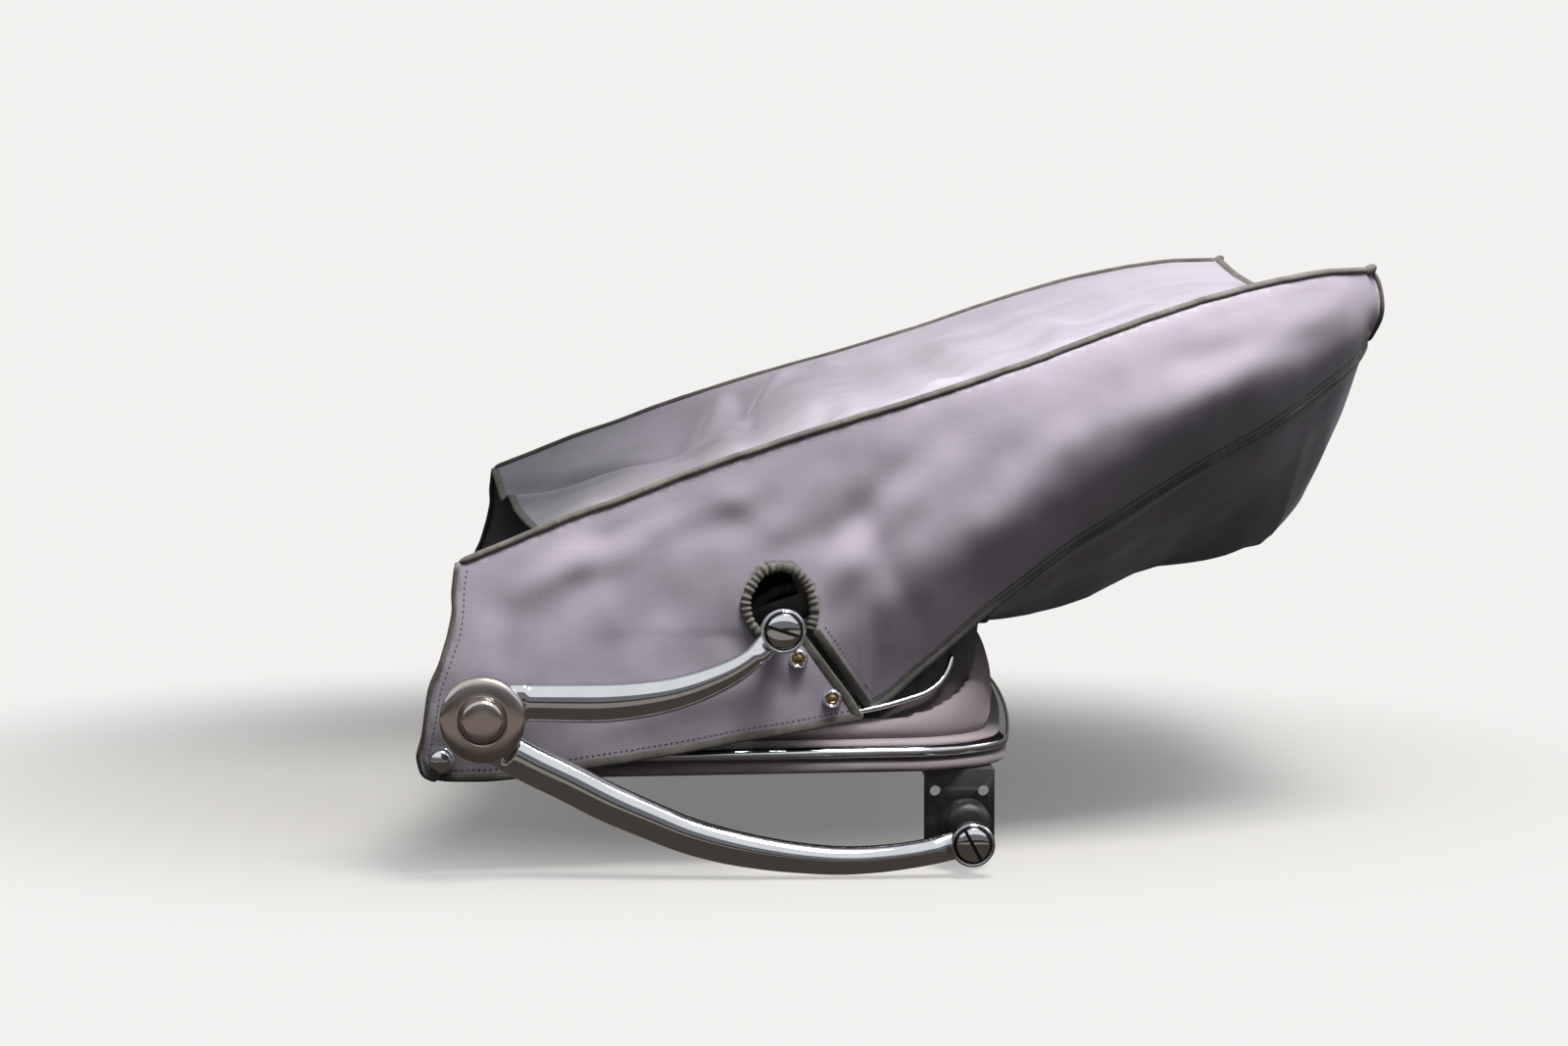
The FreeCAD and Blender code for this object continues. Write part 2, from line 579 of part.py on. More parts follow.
def arm(start, end, stations, inner, end_bore):
    """One arm of the pram iron: a curved bar between its two joints, with a round plate and an eye."""
    dx, dz = end[0] - start[0], end[1] - start[1]
    width = size("arm_width")
    line = [(start[0] + dx * s - dz * r, start[1] + dz * s + dx * r, h * width) for s, r, h in stations]
    sections = []
    for number, (x, z, height) in enumerate(line):
        before, after = line[max(number - 1, 0)], line[min(number + 1, len(line) - 1)]
        tx, tz = after[0] - before[0], after[1] - before[1]
        span = math.hypot(tx, tz)
        sections.append(arm_section(x, z, tx / span, tz / span, height, inner))
    bar = Part.makeLoft(sections, True, False)
    outer = inner + size("arm_depth")
    plate = cylinder(size("knuckle_radius") - size("knuckle_step"), inner, outer, *start)
    eye = rounded(cylinder(size("eye_radius"), inner, outer, *end), outer, size("eye_round"))
    whole = bar.fuse([plate, eye])
    bore = cylinder(end_bore, inner - 1, outer + 1, *end)
    return whole.cut(bore)


def rounded(shape, outer, radius):
    """A cylinder across the car with its outer edge rounded."""
    rim = [e for e in shape.Edges if e.BoundBox.YMax < 0.01 - outer and e.BoundBox.ZLength > 1]
    return shape.makeFillet(radius, rim)


def make_irons():
    """The two pram irons: lower arm, upper arm, outer plate with its pin, and raised cap.

    The arms lie in one plane and are lapped at the middle joint: the lower arm's plate is the inner half there.
    """
    knuckle = (size("knuckle_x"), size("knuckle_z"))
    inner, outer = iron_side(), iron_side() + size("arm_depth")
    middle, gap = (inner + outer) / 2, size("face_gap") / 2
    plate_inner = outer + size("face_gap")
    plate_outer = plate_inner + size("knuckle_plate")
    lower = arm(
        knuckle, (size("lower_eye_x"), size("lower_eye_z")), LOWER_ARM, inner,
        size("screw_shank") + size("running_gap"),
    )
    upper = arm(
        knuckle, (size("upper_eye_x"), size("upper_eye_z")), UPPER_ARM, inner,
        size("screw_shank") + size("open_eye_gap"),
    )
    room = size("knuckle_radius") + size("lap_gap")
    lower = lower.cut([
        cylinder(room, middle - gap, outer + 1, *knuckle), cylinder(size("knuckle_pin"), inner - 1, outer, *knuckle),
    ])
    upper = upper.cut([
        cylinder(room, inner - 1, middle + gap, *knuckle),
        cylinder(size("knuckle_pin") + size("running_gap"), inner, outer + 1, *knuckle),
    ])
    disc = rounded(cylinder(size("knuckle_radius"), plate_inner, plate_outer, *knuckle), plate_outer, size("plate_round"))
    pin = cylinder(size("knuckle_pin"), inner, plate_inner, *knuckle)
    cap_outer = plate_outer + size("cap_depth")
    cap = rounded(cylinder(size("cap_radius"), plate_outer, cap_outer, *knuckle), cap_outer, size("cap_round"))
    for label, shape in (
        ("lower_arm", lower), ("upper_arm", upper), ("knuckle_plate", disc.fuse(pin)), ("knuckle_cap", cap),
    ):
        solid(shape, label + "_left")
        solid(mirrored(shape), label + "_right")


def slotted_screw(label, inner, seat, x, z, turn):
    """A slotted pivot screw whose head seats at a side distance. The turn is the slot's angle."""
    shank = rod(label + "_shank", "Sizes.screw_shank", inner, seat, x, z)
    top = f"{seat} + Sizes.screw_head_depth"
    head = rod(label + "_head", "Sizes.screw_head", seat, top, x, z)
    whole = fuse(label + "_whole", shank, head)
    slot = doc.addObject("Part::Box", label + "_slot")
    bind(slot, Length="Sizes.screw_head * 2 + 2", Width="Sizes.screw_slot_depth + 1", Height="Sizes.screw_slot")
    slot.Placement.Rotation = FreeCAD.Rotation(Vector(0, 1, 0), turn)
    c, s = math.cos(math.radians(turn)), math.sin(math.radians(turn))
    bind(
        slot,
        Placement__Base__x=f"{x} - (Sizes.screw_head + 1) * {c} - Sizes.screw_slot / 2 * {s}",
        Placement__Base__y=f"-({top}) - 1",
        Placement__Base__z=f"{z} + (Sizes.screw_head + 1) * {s} - Sizes.screw_slot / 2 * {c}",
    )
    return cut(label, whole, slot)


def make_eye_hardware():
    """What carries the outer eyes: spacer and screw above, bracket, rubber pad and screw below."""
    lever_face = f"{EAR} + Sizes.ear_thickness + Sizes.face_gap + Sizes.lever_thickness"
    x, z = "Sizes.upper_eye_x", "Sizes.upper_eye_z"
    seat = f"{IRON} + Sizes.arm_depth + Sizes.face_gap"
    spacer = rod("spacer_rod", "Sizes.spacer_radius", lever_face, f"{IRON} - Sizes.face_gap", x, z)
    bore = rod("spacer_bore", "Sizes.screw_shank", f"{IRON} - Sizes.screw_grip - Sizes.face_gap", f"{IRON} + 1", x, z)
    both_sides(cut("eye_spacer", spacer, bore), "eye_spacer")
    both_sides(slotted_screw("upper_screw", f"{IRON} - Sizes.screw_grip", seat, x, z, size("upper_slot_turn")), "upper_screw")

    x, z = "Sizes.lower_eye_x", "Sizes.lower_eye_z"
    front = "Sizes.lower_eye_x - Sizes.hanger_length / 2"
    flange = block(
        "hanger_flange_plate", front, "Sizes.hanger_length", f"{HANGER} - Sizes.hanger_flange",
        "Sizes.hanger_flange", "-Sizes.hanger_thickness", "Sizes.hanger_thickness",
    )
    plate = block(
        "hanger_plate", front, "Sizes.hanger_length", f"{HANGER} - Sizes.hanger_thickness",
        "Sizes.hanger_thickness", "-Sizes.hanger_drop", "Sizes.hanger_drop",
    )
    boss = rod("hanger_boss", "Sizes.boss_radius", f"{HANGER} - 1", BOSS, x, z)
    spigot = rod(
        "hanger_spigot", "Sizes.spigot_radius", f"{BOSS} - 1", f"{IRON} - Sizes.face_gap", x, z,
    )
    tapped = rod("hanger_tapped", "Sizes.screw_shank", f"{IRON} - Sizes.screw_grip - Sizes.face_gap", f"{IRON} + 1", x, z)
    holes = []
    for number, sign in enumerate(("-", "+")):
        hole = doc.addObject("Part::Cylinder", f"hanger_hole_{number}")
        hole.Placement.Rotation = FreeCAD.Rotation(Vector(1, 0, 0), 90)
        bind(hole, Radius="Sizes.hanger_bore", Height="Sizes.hanger_thickness + 2")
        bind(
            hole, Placement__Base__x=f"Sizes.lower_eye_x {sign} (Sizes.hanger_length / 2 - Sizes.hanger_edge)",
            Placement__Base__y=f"1 - {HANGER} + Sizes.hanger_thickness", Placement__Base__z="-Sizes.hanger_bolt_drop",
        )
        holes.append(hole)
    hanger = cut("iron_bracket", fuse("hanger_blank", flange, plate, boss, spigot), tapped, *holes)
    both_sides(hanger, "iron_bracket")
    pad = rod(
        "pad_disc", "Sizes.pad_radius", BOSS, f"{BOSS} + Sizes.pad_depth", x,
        f"{z} + Sizes.pad_rise",
    )
    pad_bore = rod("pad_bore", "Sizes.spigot_radius", f"{BOSS} - 1", f"{IRON} + 1", x, z)
    both_sides(cut("iron_pad", pad, pad_bore), "iron_pad")
    both_sides(slotted_screw("lower_screw", f"{IRON} - Sizes.screw_grip", seat, x, z, size("lower_slot_turn")), "lower_screw")


def panel(sections):
    """One panel of cloth as a row of flat facets between its cross-sections."""
    wires = [Part.makePolygon([*corners, corners[0]]) if isinstance(corners, list) else corners for corners in sections]
    return Part.makeLoft(wires, True, True)


def sagging(x, side, edge_z, middle_z, wall):
    """A cross-section of a panel slung between the two sides: an arc below another, with upright ends."""
    a, b = Vector(x, -side, edge_z), Vector(x, side, edge_z)
    c, d = Vector(x, side, edge_z - wall), Vector(x, -side, edge_z - wall)
    return Part.Wire([
        Part.Arc(a, Vector(x, 0, middle_z), b).toShape(),
        Part.LineSegment(b, c).toShape(),
        Part.Arc(c, Vector(x, 0, middle_z - wall), d).toShape(),
        Part.LineSegment(d, a).toShape(),
    ])


def through(points):
    """A prism across the whole car from its outline seen from the side."""
    span = 2 * size("rail_side")
    corners = [Vector(x, -span, z) for x, z in points]
    return Part.Face(Part.makePolygon(corners + corners[:1])).extrude(Vector(0, 2 * span, 0))


def bore_through(radius, x, z):
    """A round hole across the whole car."""
    span = 2 * size("rail_side")
    return Part.makeCylinder(radius, 2 * span, Vector(x, -span, z), Vector(0, 1, 0))


def cover_stations():
    """The cover's cross-sections in millimetres."""
    rows = []
    for share, top, top_side, sag, low, low_side in COVER_STATIONS:
        x, top_z = drawn(share, top)
        rows.append((x, top_z, drawn_side(top_side), drawn_length(sag), drawn(share, low)[1], drawn_side(low_side)))
    return rows


def along_table(table, at):
    """A value of a table of pairs, drawn straight between its rows."""
    for (a, low), (b, high) in zip(table, table[1:]):
        if a <= at <= b:
            return low + (high - low) * (at - a) / (b - a)
    raise ValueError(f"{at} lies outside the table")


def side_face(x, top_z, top_side, low_z, low_side):
    """A cross-section of the cover's outer face: side distances and heights from the upper seam down."""
    reach = size("bow_length") if x > size("stack_x") else size("stack_x") - size("rail_front")
    full = size("cover_fullness") * along_table(SIDE_FULLNESS, (x - size("stack_x")) / reach)
    return [
        (top_side + (low_side - top_side) * way + full * out, top_z + (low_z - top_z) * down)
        for down, out, way in SIDE_PROFILE
    ]


def cover_belly():
    """The cover's underside in millimetres."""
    return [(*drawn(share, edge), drawn(share, belly)[1]) for share, edge, belly in COVER_BELLY]


def make_cover():
    """The cover: a cloth bag open in front, with a hole and a slit on each side for the pram iron."""
    wall = size("cover_wall")
    stations = cover_stations()
    side_sections = []
    for x, top_z, top_side, _, low_z, low_side in stations:
        face = side_face(x, top_z, top_side, low_z, low_side)
        outer = [Vector(x, -side, z) for side, z in face]
        inner = [Vector(x, wall - side, z) for side, z in reversed(face)]
        side_sections.append(outer + inner)
    side = panel(side_sections).common(through(drawn_points(COVER_SIDE)))
    (x0, z0), (x1, z1) = drawn_points(SLIT)
    length = math.hypot(x1 - x0, z1 - z0)
    nx, nz = (z1 - z0) / length * size("slit_width") / 2, -(x1 - x0) / length * size("slit_width") / 2
    slit = through([(x0 + nx, z0 + nz), (x1 + nx, z1 + nz), (x1 - nx, z1 - nz), (x0 - nx, z0 - nz)])
    hole = bore_through(size("hole_radius"), size("hole_x"), size("hole_z"))
    round_spacer = bore_through(size("spacer_radius") * 2, size("upper_eye_x"), size("upper_eye_z"))
    side = side.cut([hole, round_spacer, slit])
    solid(side, "cover_side_left")
    solid(mirrored(side), "cover_side_right")
    make_fasteners(side)

    top_sections = []
    for x, top_z, top_side, sag, _, _ in stations:
        top_sections.append(sagging(x, top_side - wall - size("seam_gap"), top_z, top_z - sag, wall))
    front, _ = drawn(*COVER_SIDE[0])
    scoop_depth, half = size("cover_scoop"), stations[0][2]
    radius = (half * half + scoop_depth * scoop_depth) / (2 * scoop_depth)
    scoop = Part.makeCylinder(radius, 2 * half, Vector(front + scoop_depth - radius, 0, 0))
    solid(panel(top_sections).cut(scoop), "cover_top")

    belly_sections = []
    for x, edge_z, belly_z in cover_belly():
        belly_sections.append(sagging(x, cover_side_at(x, edge_z) - wall, edge_z, belly_z + wall, wall))
    solid(panel(belly_sections), "cover_bottom")
    x, edge_z, belly_z = cover_belly()[-1]
    tail_x, top_z, top_side, sag, _, _ = stations[-1]
    low_side = cover_side_at(tail_x, edge_z)
    a, b = Vector(x, wall - low_side, edge_z - wall), Vector(x, wall - top_side, top_z - wall)
    c, d = Vector(x, top_side - wall, top_z - wall), Vector(x, low_side - wall, edge_z - wall)
    tail = Part.Face(Part.Wire([
        Part.LineSegment(a, b).toShape(),
        Part.Arc(b, Vector(x, 0, top_z - sag - wall), c).toShape(),
        Part.LineSegment(c, d).toShape(),
        Part.Arc(d, Vector(x, 0, belly_z), a).toShape(),
    ])).extrude(Vector(wall, 0, 0))
    solid(tail, "cover_tail")


def cover_side_at(x, z):
    """Side distance of the cover's outer face at a place, worked out from the table of cross-sections."""
    stations = cover_stations()
    for left, right in zip(stations, stations[1:]):
        if left[0] <= x <= right[0]:
            share = (x - left[0]) / (right[0] - left[0])
            row = [a + (b - a) * share for a, b in zip(left, right)]
            face = side_face(x, row[1], row[2], row[4], row[5])
            return along_table([(height, side) for side, height in reversed(face)], z)
    raise ValueError(f"no cross-section near {x}")


def make_fasteners(cloth):
    """The press studs beside the slit and the round fastener at each lower front corner, seated on the side's cloth."""
    for side, turn in (("left", lambda shape: shape), ("right", mirrored)):
        for number, (x, z) in enumerate(drawn_points(PRESS_STUDS), 1):
            face = cover_side_at(x, z)
            outer = face + size("stud_height")
            dome = rounded(cylinder(size("stud_radius"), face - 2, outer, x, z), outer, size("stud_height") * 0.6)
            solid(turn(dome.cut(cloth)), f"press_stud_{number}_{side}")
        x, z = drawn(*BALL_STUD)
        face = cover_side_at(x, z)
        ball = Part.makeSphere(size("ball_radius"), Vector(x, -face - size("ball_radius") * 0.5, z))
        room = size("ball_radius") * 3
        behind = Part.makeBox(2 * room, room, 2 * room, Vector(x - room, size("cover_wall") / 2 - face, z - room))
        solid(turn(ball.cut([behind, cloth])), f"corner_fastener_{side}")


def in_stack(shape, depth):
    """Moves a flat shape into the stack of bows, which slopes up towards the tail, at a height above its underside."""
    shape.translate(Vector(0, 0, depth))
    shape.rotate(Vector(0, 0, 0), Vector(0, 1, 0), -size("stack_angle"))
    shape.translate(Vector(size("stack_x"), 0, size("stack_z")))
    return shape


def bow_line(number, inset):
    """The outline in plan of one bow, moved inwards from its outer face. The lowest bow is number 0."""
    return hoop(
        0, bow_side(), size("bow_taper"), size("bow_length") + number * size("bow_step"),
        size("bow_back_bend"), size("bow_corner"), inset,
    )


def flat(edges, depth):
    """A plate from its outline in plan."""
    return Part.Face(Part.Wire(Part.__sortEdges__(edges))).extrude(Vector(0, 0, depth))


def make_stack():
    """The three folded bows with the hood's cloth folded between them, the header rail and its side rails on top."""
    width, depth, layer = size("bow_width"), size("bow_depth"), size("cloth_layer")
    bows, clothes = [], []
    for number in range(3):
        outer, inner = hoop_edges(*bow_line(number, 0)), hoop_edges(*bow_line(number, width))
        ends = [
            Part.LineSegment(outer[0].Vertexes[0].Point, inner[0].Vertexes[0].Point).toShape(),
            Part.LineSegment(outer[-1].Vertexes[-1].Point, inner[-1].Vertexes[-1].Point).toShape(),
        ]
        level = stack_height(number)
        bows.append(in_stack(flat(outer + inner + ends, depth), level))
        cloth = hoop_edges(*bow_line(number, size("cloth_inset")))
        cloth.append(Part.LineSegment(cloth[0].Vertexes[0].Point, cloth[-1].Vertexes[-1].Point).toShape())
        plate = flat(cloth, layer)
        room = bow_side()
        front_cut = size("socket_length") + size("face_gap")
        plate = plate.cut(Part.makeBox(room + front_cut, 2 * room, 3 * layer, Vector(-room, -room, -layer)))
        clothes.append(in_stack(plate, level + depth))
    for number, (bow, cloth) in enumerate(zip(bows, clothes), 1):
        solid(bow, f"bow_{number}")
        solid(cloth, f"folded_cloth_{number}")
    top = stack_height(3)
    front, half = size("bow_length") - size("header_setback"), bow_side() - size("header_inset")
    header = Part.makeBox(size("header_width"), 2 * half, size("header_height"), Vector(front, -half, 0))
    solid(in_stack(header, top), "header_rail")
    start, rail_width = bow_side(), size("side_rail_width")
    plan = [Vector(4, -start, 0), Vector(4, rail_width - start, 0), Vector(front, rail_width - half, 0), Vector(front, -half, 0)]
    rail = Part.Face(Part.makePolygon(plan + plan[:1])).extrude(Vector(0, 0, size("side_rail_depth")))
    rail = in_stack(rail, top)
    solid(rail, "side_rail_left")
    solid(mirrored(rail), "side_rail_right")
    return bows


def make_levers(bows):
    """The main lever: a bar from the main pivot past the upper eye, with the socket for the bows' ends."""
    inner, thickness = lever_inner(), size("lever_thickness")
    ux, uz = lever_direction()
    half = size("lever_width") / 2
    px, pz = size("pivot_x"), size("pivot_z")
    reach = (size("lever_end") - px) / ux
    ends = [(px, pz), (px + ux * reach, pz + uz * reach)]
    bar = extruded(
        [
            (ends[0][0] - uz * half, ends[0][1] + ux * half), (ends[1][0] - uz * half, ends[1][1] + ux * half),
            (ends[1][0] + uz * half, ends[1][1] - ux * half), (ends[0][0] + uz * half, ends[0][1] - ux * half),
        ],
        inner, thickness,
    )
    boss = cylinder(half, inner, inner + thickness, px, pz)
    top = stack_height(3)
    socket = Part.makeBox(
        size("socket_length"), inner + thickness - bow_side() + size("socket_depth"), top + 6,
        Vector(0, -inner - thickness, -6),
    )
    socket = in_stack(socket, 0).cut(bows)
    lever = bar.fuse([boss, socket]).removeSplitter()
    lever = lever.cut(cylinder(size("pivot_pin") + size("running_gap"), inner - 1, inner + thickness + 1, px, pz))
    solid(lever, "main_lever_left")
    solid(mirrored(lever), "main_lever_right")


def make_bundle():
    """The hood's back curtain, folded into a soft roll that hangs under the bows and rests in the cover's underside."""
    sections = []
    slope = math.tan(math.radians(size("stack_angle")))
    for share, width, edge, belly in BUNDLE:
        x, edge_z = drawn(share, edge)
        side, belly_z = drawn_side(width), drawn(share, belly)[1]
        top_z = size("stack_z") + slope * (x - size("stack_x"))
        a, b = Vector(x, -side, edge_z), Vector(x, -side, top_z)
        c, d = Vector(x, side, top_z), Vector(x, side, edge_z)
        sections.append(Part.Wire([
            Part.LineSegment(a, b).toShape(),
            Part.LineSegment(b, c).toShape(),
            Part.LineSegment(c, d).toShape(),
            Part.Arc(d, Vector(x, 0, belly_z), a).toShape(),
        ]))
    below = []
    wall = size("cover_wall")
    for x, edge_z, belly_z in cover_belly():
        side = cover_side_at(x, edge_z) - wall
        a, b = Vector(x, -side, edge_z), Vector(x, side, edge_z)
        c, d = Vector(x, side, 0), Vector(x, -side, 0)
        below.append(Part.Wire([
            Part.Arc(a, Vector(x, 0, belly_z + wall), b).toShape(),
            Part.LineSegment(b, c).toShape(),
            Part.LineSegment(c, d).toShape(),
            Part.LineSegment(d, a).toShape(),
        ]))
    bundle = Part.makeLoft(sections, True, True).cut(Part.makeLoft(below, True, True))
    solid(bundle, "folded_curtain")


make_rail()
make_moulding()
make_cloth_border()
make_pivot_brackets()
make_pivot_pins()
make_irons()
make_eye_hardware()
make_cover()
make_levers(make_stack())
make_bundle()

doc.recompute()
for obj in doc.Objects:
    bad = [s for s in obj.State if s in ("Invalid", "Error")]
    if bad:
        raise RuntimeError(f"{obj.Name} is {bad}")
os.makedirs("parts", exist_ok=True)
for obj in pieces:
    shape = obj.Shape
    if shape.isNull() or not shape.isValid() or not shape.Solids:
        raise RuntimeError(f"{obj.Label} has no valid solid")
    shape.exportStep(f"parts/{obj.Label}.step")
    print(obj.Label, len(shape.Solids), round(shape.Volume), [round(v, 1) for v in (
        shape.BoundBox.XMin, shape.BoundBox.XMax, shape.BoundBox.YMin, shape.BoundBox.YMax,
        shape.BoundBox.ZMin, shape.BoundBox.ZMax)])
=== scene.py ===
"""The folded hood of an open car in its cloth cover, with its pram irons, dressed for show.

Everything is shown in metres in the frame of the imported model: +X to the car's tail, +Y to its right, +Z up. Shapes are
worked out in millimetres and turned to metres by the factor MM. They are made for the left side and mirrored to the
right.
"""
import math
import bmesh
import bpy
import numpy as np
from bpy.props import FloatProperty, FloatVectorProperty, PointerProperty
from mathutils import Matrix, Vector


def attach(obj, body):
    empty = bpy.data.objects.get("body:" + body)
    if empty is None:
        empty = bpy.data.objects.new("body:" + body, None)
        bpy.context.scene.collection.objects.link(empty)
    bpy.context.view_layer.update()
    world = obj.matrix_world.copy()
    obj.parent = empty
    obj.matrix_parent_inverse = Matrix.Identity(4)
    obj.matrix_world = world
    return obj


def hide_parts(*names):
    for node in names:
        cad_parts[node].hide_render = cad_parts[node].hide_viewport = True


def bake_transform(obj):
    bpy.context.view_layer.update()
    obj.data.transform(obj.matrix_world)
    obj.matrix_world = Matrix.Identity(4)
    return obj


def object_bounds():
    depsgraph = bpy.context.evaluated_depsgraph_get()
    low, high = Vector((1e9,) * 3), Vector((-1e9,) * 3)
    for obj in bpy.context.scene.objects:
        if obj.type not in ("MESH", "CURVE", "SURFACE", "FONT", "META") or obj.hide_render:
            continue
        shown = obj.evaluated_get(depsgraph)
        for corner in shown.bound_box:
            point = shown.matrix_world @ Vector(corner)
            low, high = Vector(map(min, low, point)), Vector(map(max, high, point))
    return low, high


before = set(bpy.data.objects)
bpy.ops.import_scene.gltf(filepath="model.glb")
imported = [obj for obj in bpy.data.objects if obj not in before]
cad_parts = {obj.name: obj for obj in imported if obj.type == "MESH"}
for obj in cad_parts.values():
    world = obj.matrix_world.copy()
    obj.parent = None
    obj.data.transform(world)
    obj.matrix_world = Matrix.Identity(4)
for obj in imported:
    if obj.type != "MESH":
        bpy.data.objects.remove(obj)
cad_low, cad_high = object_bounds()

bl_info = {
    "name": "Folded Hood",
    "version": (1, 0, 0),
    "blender": (4, 5, 0),
    "location": "3D View > Sidebar > Hood",
    "description": "Makes the folded hood of an open car with its cloth cover, folding frame and pram irons",
    "category": "Add Mesh",
}

MM = 0.001
SIDES = (("left", 1.0), ("right", -1.0))
UP, ACROSS = (0.0, 0.0, 1.0), (0.0, 1.0, 0.0)


# Shapes, worked out as whole arrays

def walked(path):
    """The length of the way along a path to each of its points."""
    return np.concatenate([[0], np.cumsum(np.linalg.norm(np.diff(path, axis=0), axis=1))])


def smooth_line(points, count):
    """A smooth line through points, a Catmull-Rom spline walked at even steps of its length."""
    p = np.asarray(points, float)
    ends = np.vstack([2 * p[0] - p[1], p, 2 * p[-1] - p[-2]])
    t = np.linspace(0, len(p) - 1, 40 * (len(p) - 1) + 1)
    i = np.minimum(t.astype(int), len(p) - 2)
    f = (t - i)[:, None]
    a, b, c, d = (ends[i + k] for k in range(4))
    fine = 0.5 * (2 * b + (c - a) * f + (2 * a - 5 * b + 4 * c - d) * f**2 + (3 * b - a - 3 * c + d) * f**3)
    length = walked(fine)
    at = np.linspace(0, length[-1], count)
    return np.column_stack([np.interp(at, length, fine[:, k]) for k in range(fine.shape[1])])


def swept(path, outline, up=UP, scale=1.0):
    """A section carried along a path: point = path + side * u + normal * v, with the section as rows of u and v.

    The side is square to the path and to the up direction, and the normal is square to the side and the path.
    """
    tangent = np.gradient(path, axis=0)
    tangent /= np.linalg.norm(tangent, axis=1)[:, None]
    side = np.cross(tangent, np.asarray(up, float))
    side /= np.linalg.norm(side, axis=1)[:, None] + 1e-12
    normal = np.cross(side, tangent)
    outline = np.asarray(outline, float)
    outline = np.broadcast_to(outline, (len(path), *outline.shape[-2:]))
    outline = outline * np.broadcast_to(scale, len(path))[:, None, None]
    return path[:, None] + side[:, None] * outline[..., :1] + normal[:, None] * outline[..., 1:2]


def circle(count):
    """Angles at even steps round a circle."""
    return np.linspace(0, 2 * math.pi, count, endpoint=False)


def ring(radius, count):
    """A round section."""
    a = circle(count)
    return np.column_stack([np.cos(a) * radius, np.sin(a) * radius])


def grid_faces(rows, columns, wrap_rows=False, wrap_columns=False):
    """The four corners of each face of a grid of points, kept row by row."""
    i = np.arange(rows if wrap_rows else rows - 1)
    j = np.arange(columns if wrap_columns else columns - 1)
    i, j = (a.ravel() for a in np.meshgrid(i, j, indexing="ij"))
    i2, j2 = (i + 1) % rows, (j + 1) % columns
    return np.column_stack([i * columns + j, i2 * columns + j, i2 * columns + j2, i * columns + j2])


def new_mesh(name, points, faces, uv=None):
    """A smooth object from an array of points, an array of faces and, for a map, a place on it for each point."""
    mesh = bpy.data.meshes.new(name)
    points = np.asarray(points, float).reshape(-1, 3)
    mesh.from_pydata(points.tolist(), [], [list(map(int, f)) for f in faces])
    if uv is not None:
        layer = mesh.uv_layers.new(name="UVMap")
        corner = np.empty(len(mesh.loops), np.int32)
        mesh.loops.foreach_get("vertex_index", corner)
        layer.data.foreach_set("uv", np.asarray(uv, float).reshape(-1, 2)[corner].ravel())
    mesh.polygons.foreach_set("use_smooth", np.ones(len(mesh.polygons), bool))
    mesh.update()
    obj = bpy.data.objects.new(name, mesh)
    bpy.context.scene.collection.objects.link(obj)
    return obj


def from_grid(name, points, closed=False, uv=None):
    """An object from a grid whose rows are rings.

    A closed one runs round to its first ring, and any other gets a fan of faces over its first and its last ring.
    """
    rows, columns = points.shape[:2]
    faces = list(grid_faces(rows, columns, closed, True))
    flat = points.reshape(-1, 3)
    if not closed:
        flat = np.vstack([flat, points[0].mean(0), points[-1].mean(0)])
        j = np.arange(columns)
        first, last = rows * columns, rows * columns + 1
        faces += list(np.column_stack([j, (j + 1) % columns, np.full(columns, first)]))
        row = (rows - 1) * columns
        faces += list(np.column_stack([row + (j + 1) % columns, row + j, np.full(columns, last)]))
    obj = new_mesh(name, flat, faces, uv)
    face_out(obj)
    return obj


def face_out(obj):
    """Turns every face of a closed piece outwards."""
    work = bmesh.new()
    work.from_mesh(obj.data)
    bmesh.ops.recalc_face_normals(work, faces=work.faces)
    work.to_mesh(obj.data)
    work.free()


def placed(points, sign):
    """Points in millimetres on the left side as places in metres, on the right side if the sign is negative."""
    return points * np.array([1.0, sign, 1.0]) * MM


def lathe(name, profile, centre, sign, count=96, closed=False):
    """A piece turned about a line across the car. The profile is rows of radius and side distance, from the back."""
    profile = np.asarray(profile, float)
    a = circle(count)
    x = centre[0] + profile[:, :1] * np.cos(a)
    z = centre[1] + profile[:, :1] * np.sin(a)
    y = np.repeat(-profile[:, 1:2], count, axis=1)
    return from_grid(name, placed(np.stack([x, y, z], axis=2), sign), closed)


def noise(seed, *axes):
    """A smooth, repeatable wobble between about -1 and 1: a sum of eight sine waves with drawn directions."""
    draw = np.random.default_rng(seed)
    total = 0.0
    for step in range(8):
        way = draw.normal(size=len(axes))
        finer = 1 + 0.45 * step
        way *= finer / np.linalg.norm(way)
        total = total + np.sin(sum(w * a for w, a in zip(way, axes)) + draw.uniform(0, 6.3)) / finer
    return total / 3.0


# Places that pieces share, seen from the left, in millimetres: along X, then up

KNUCKLE, UPPER_EYE, LOWER_EYE = (-204.0, 59.0), (34.0, 127.0), (185.0, -45.0)
STACK_PLACE = (62, 124)                  # the foot of the slanted stack of bows
STACK_TILT, STACK_SLOPE = 22.8, 0.42036  # its slant in degrees, and the tangent of that
RAIL_SIDE = 590                          # the rail's distance from the centreline in front

# The measured lines of the real cover, seen the same way

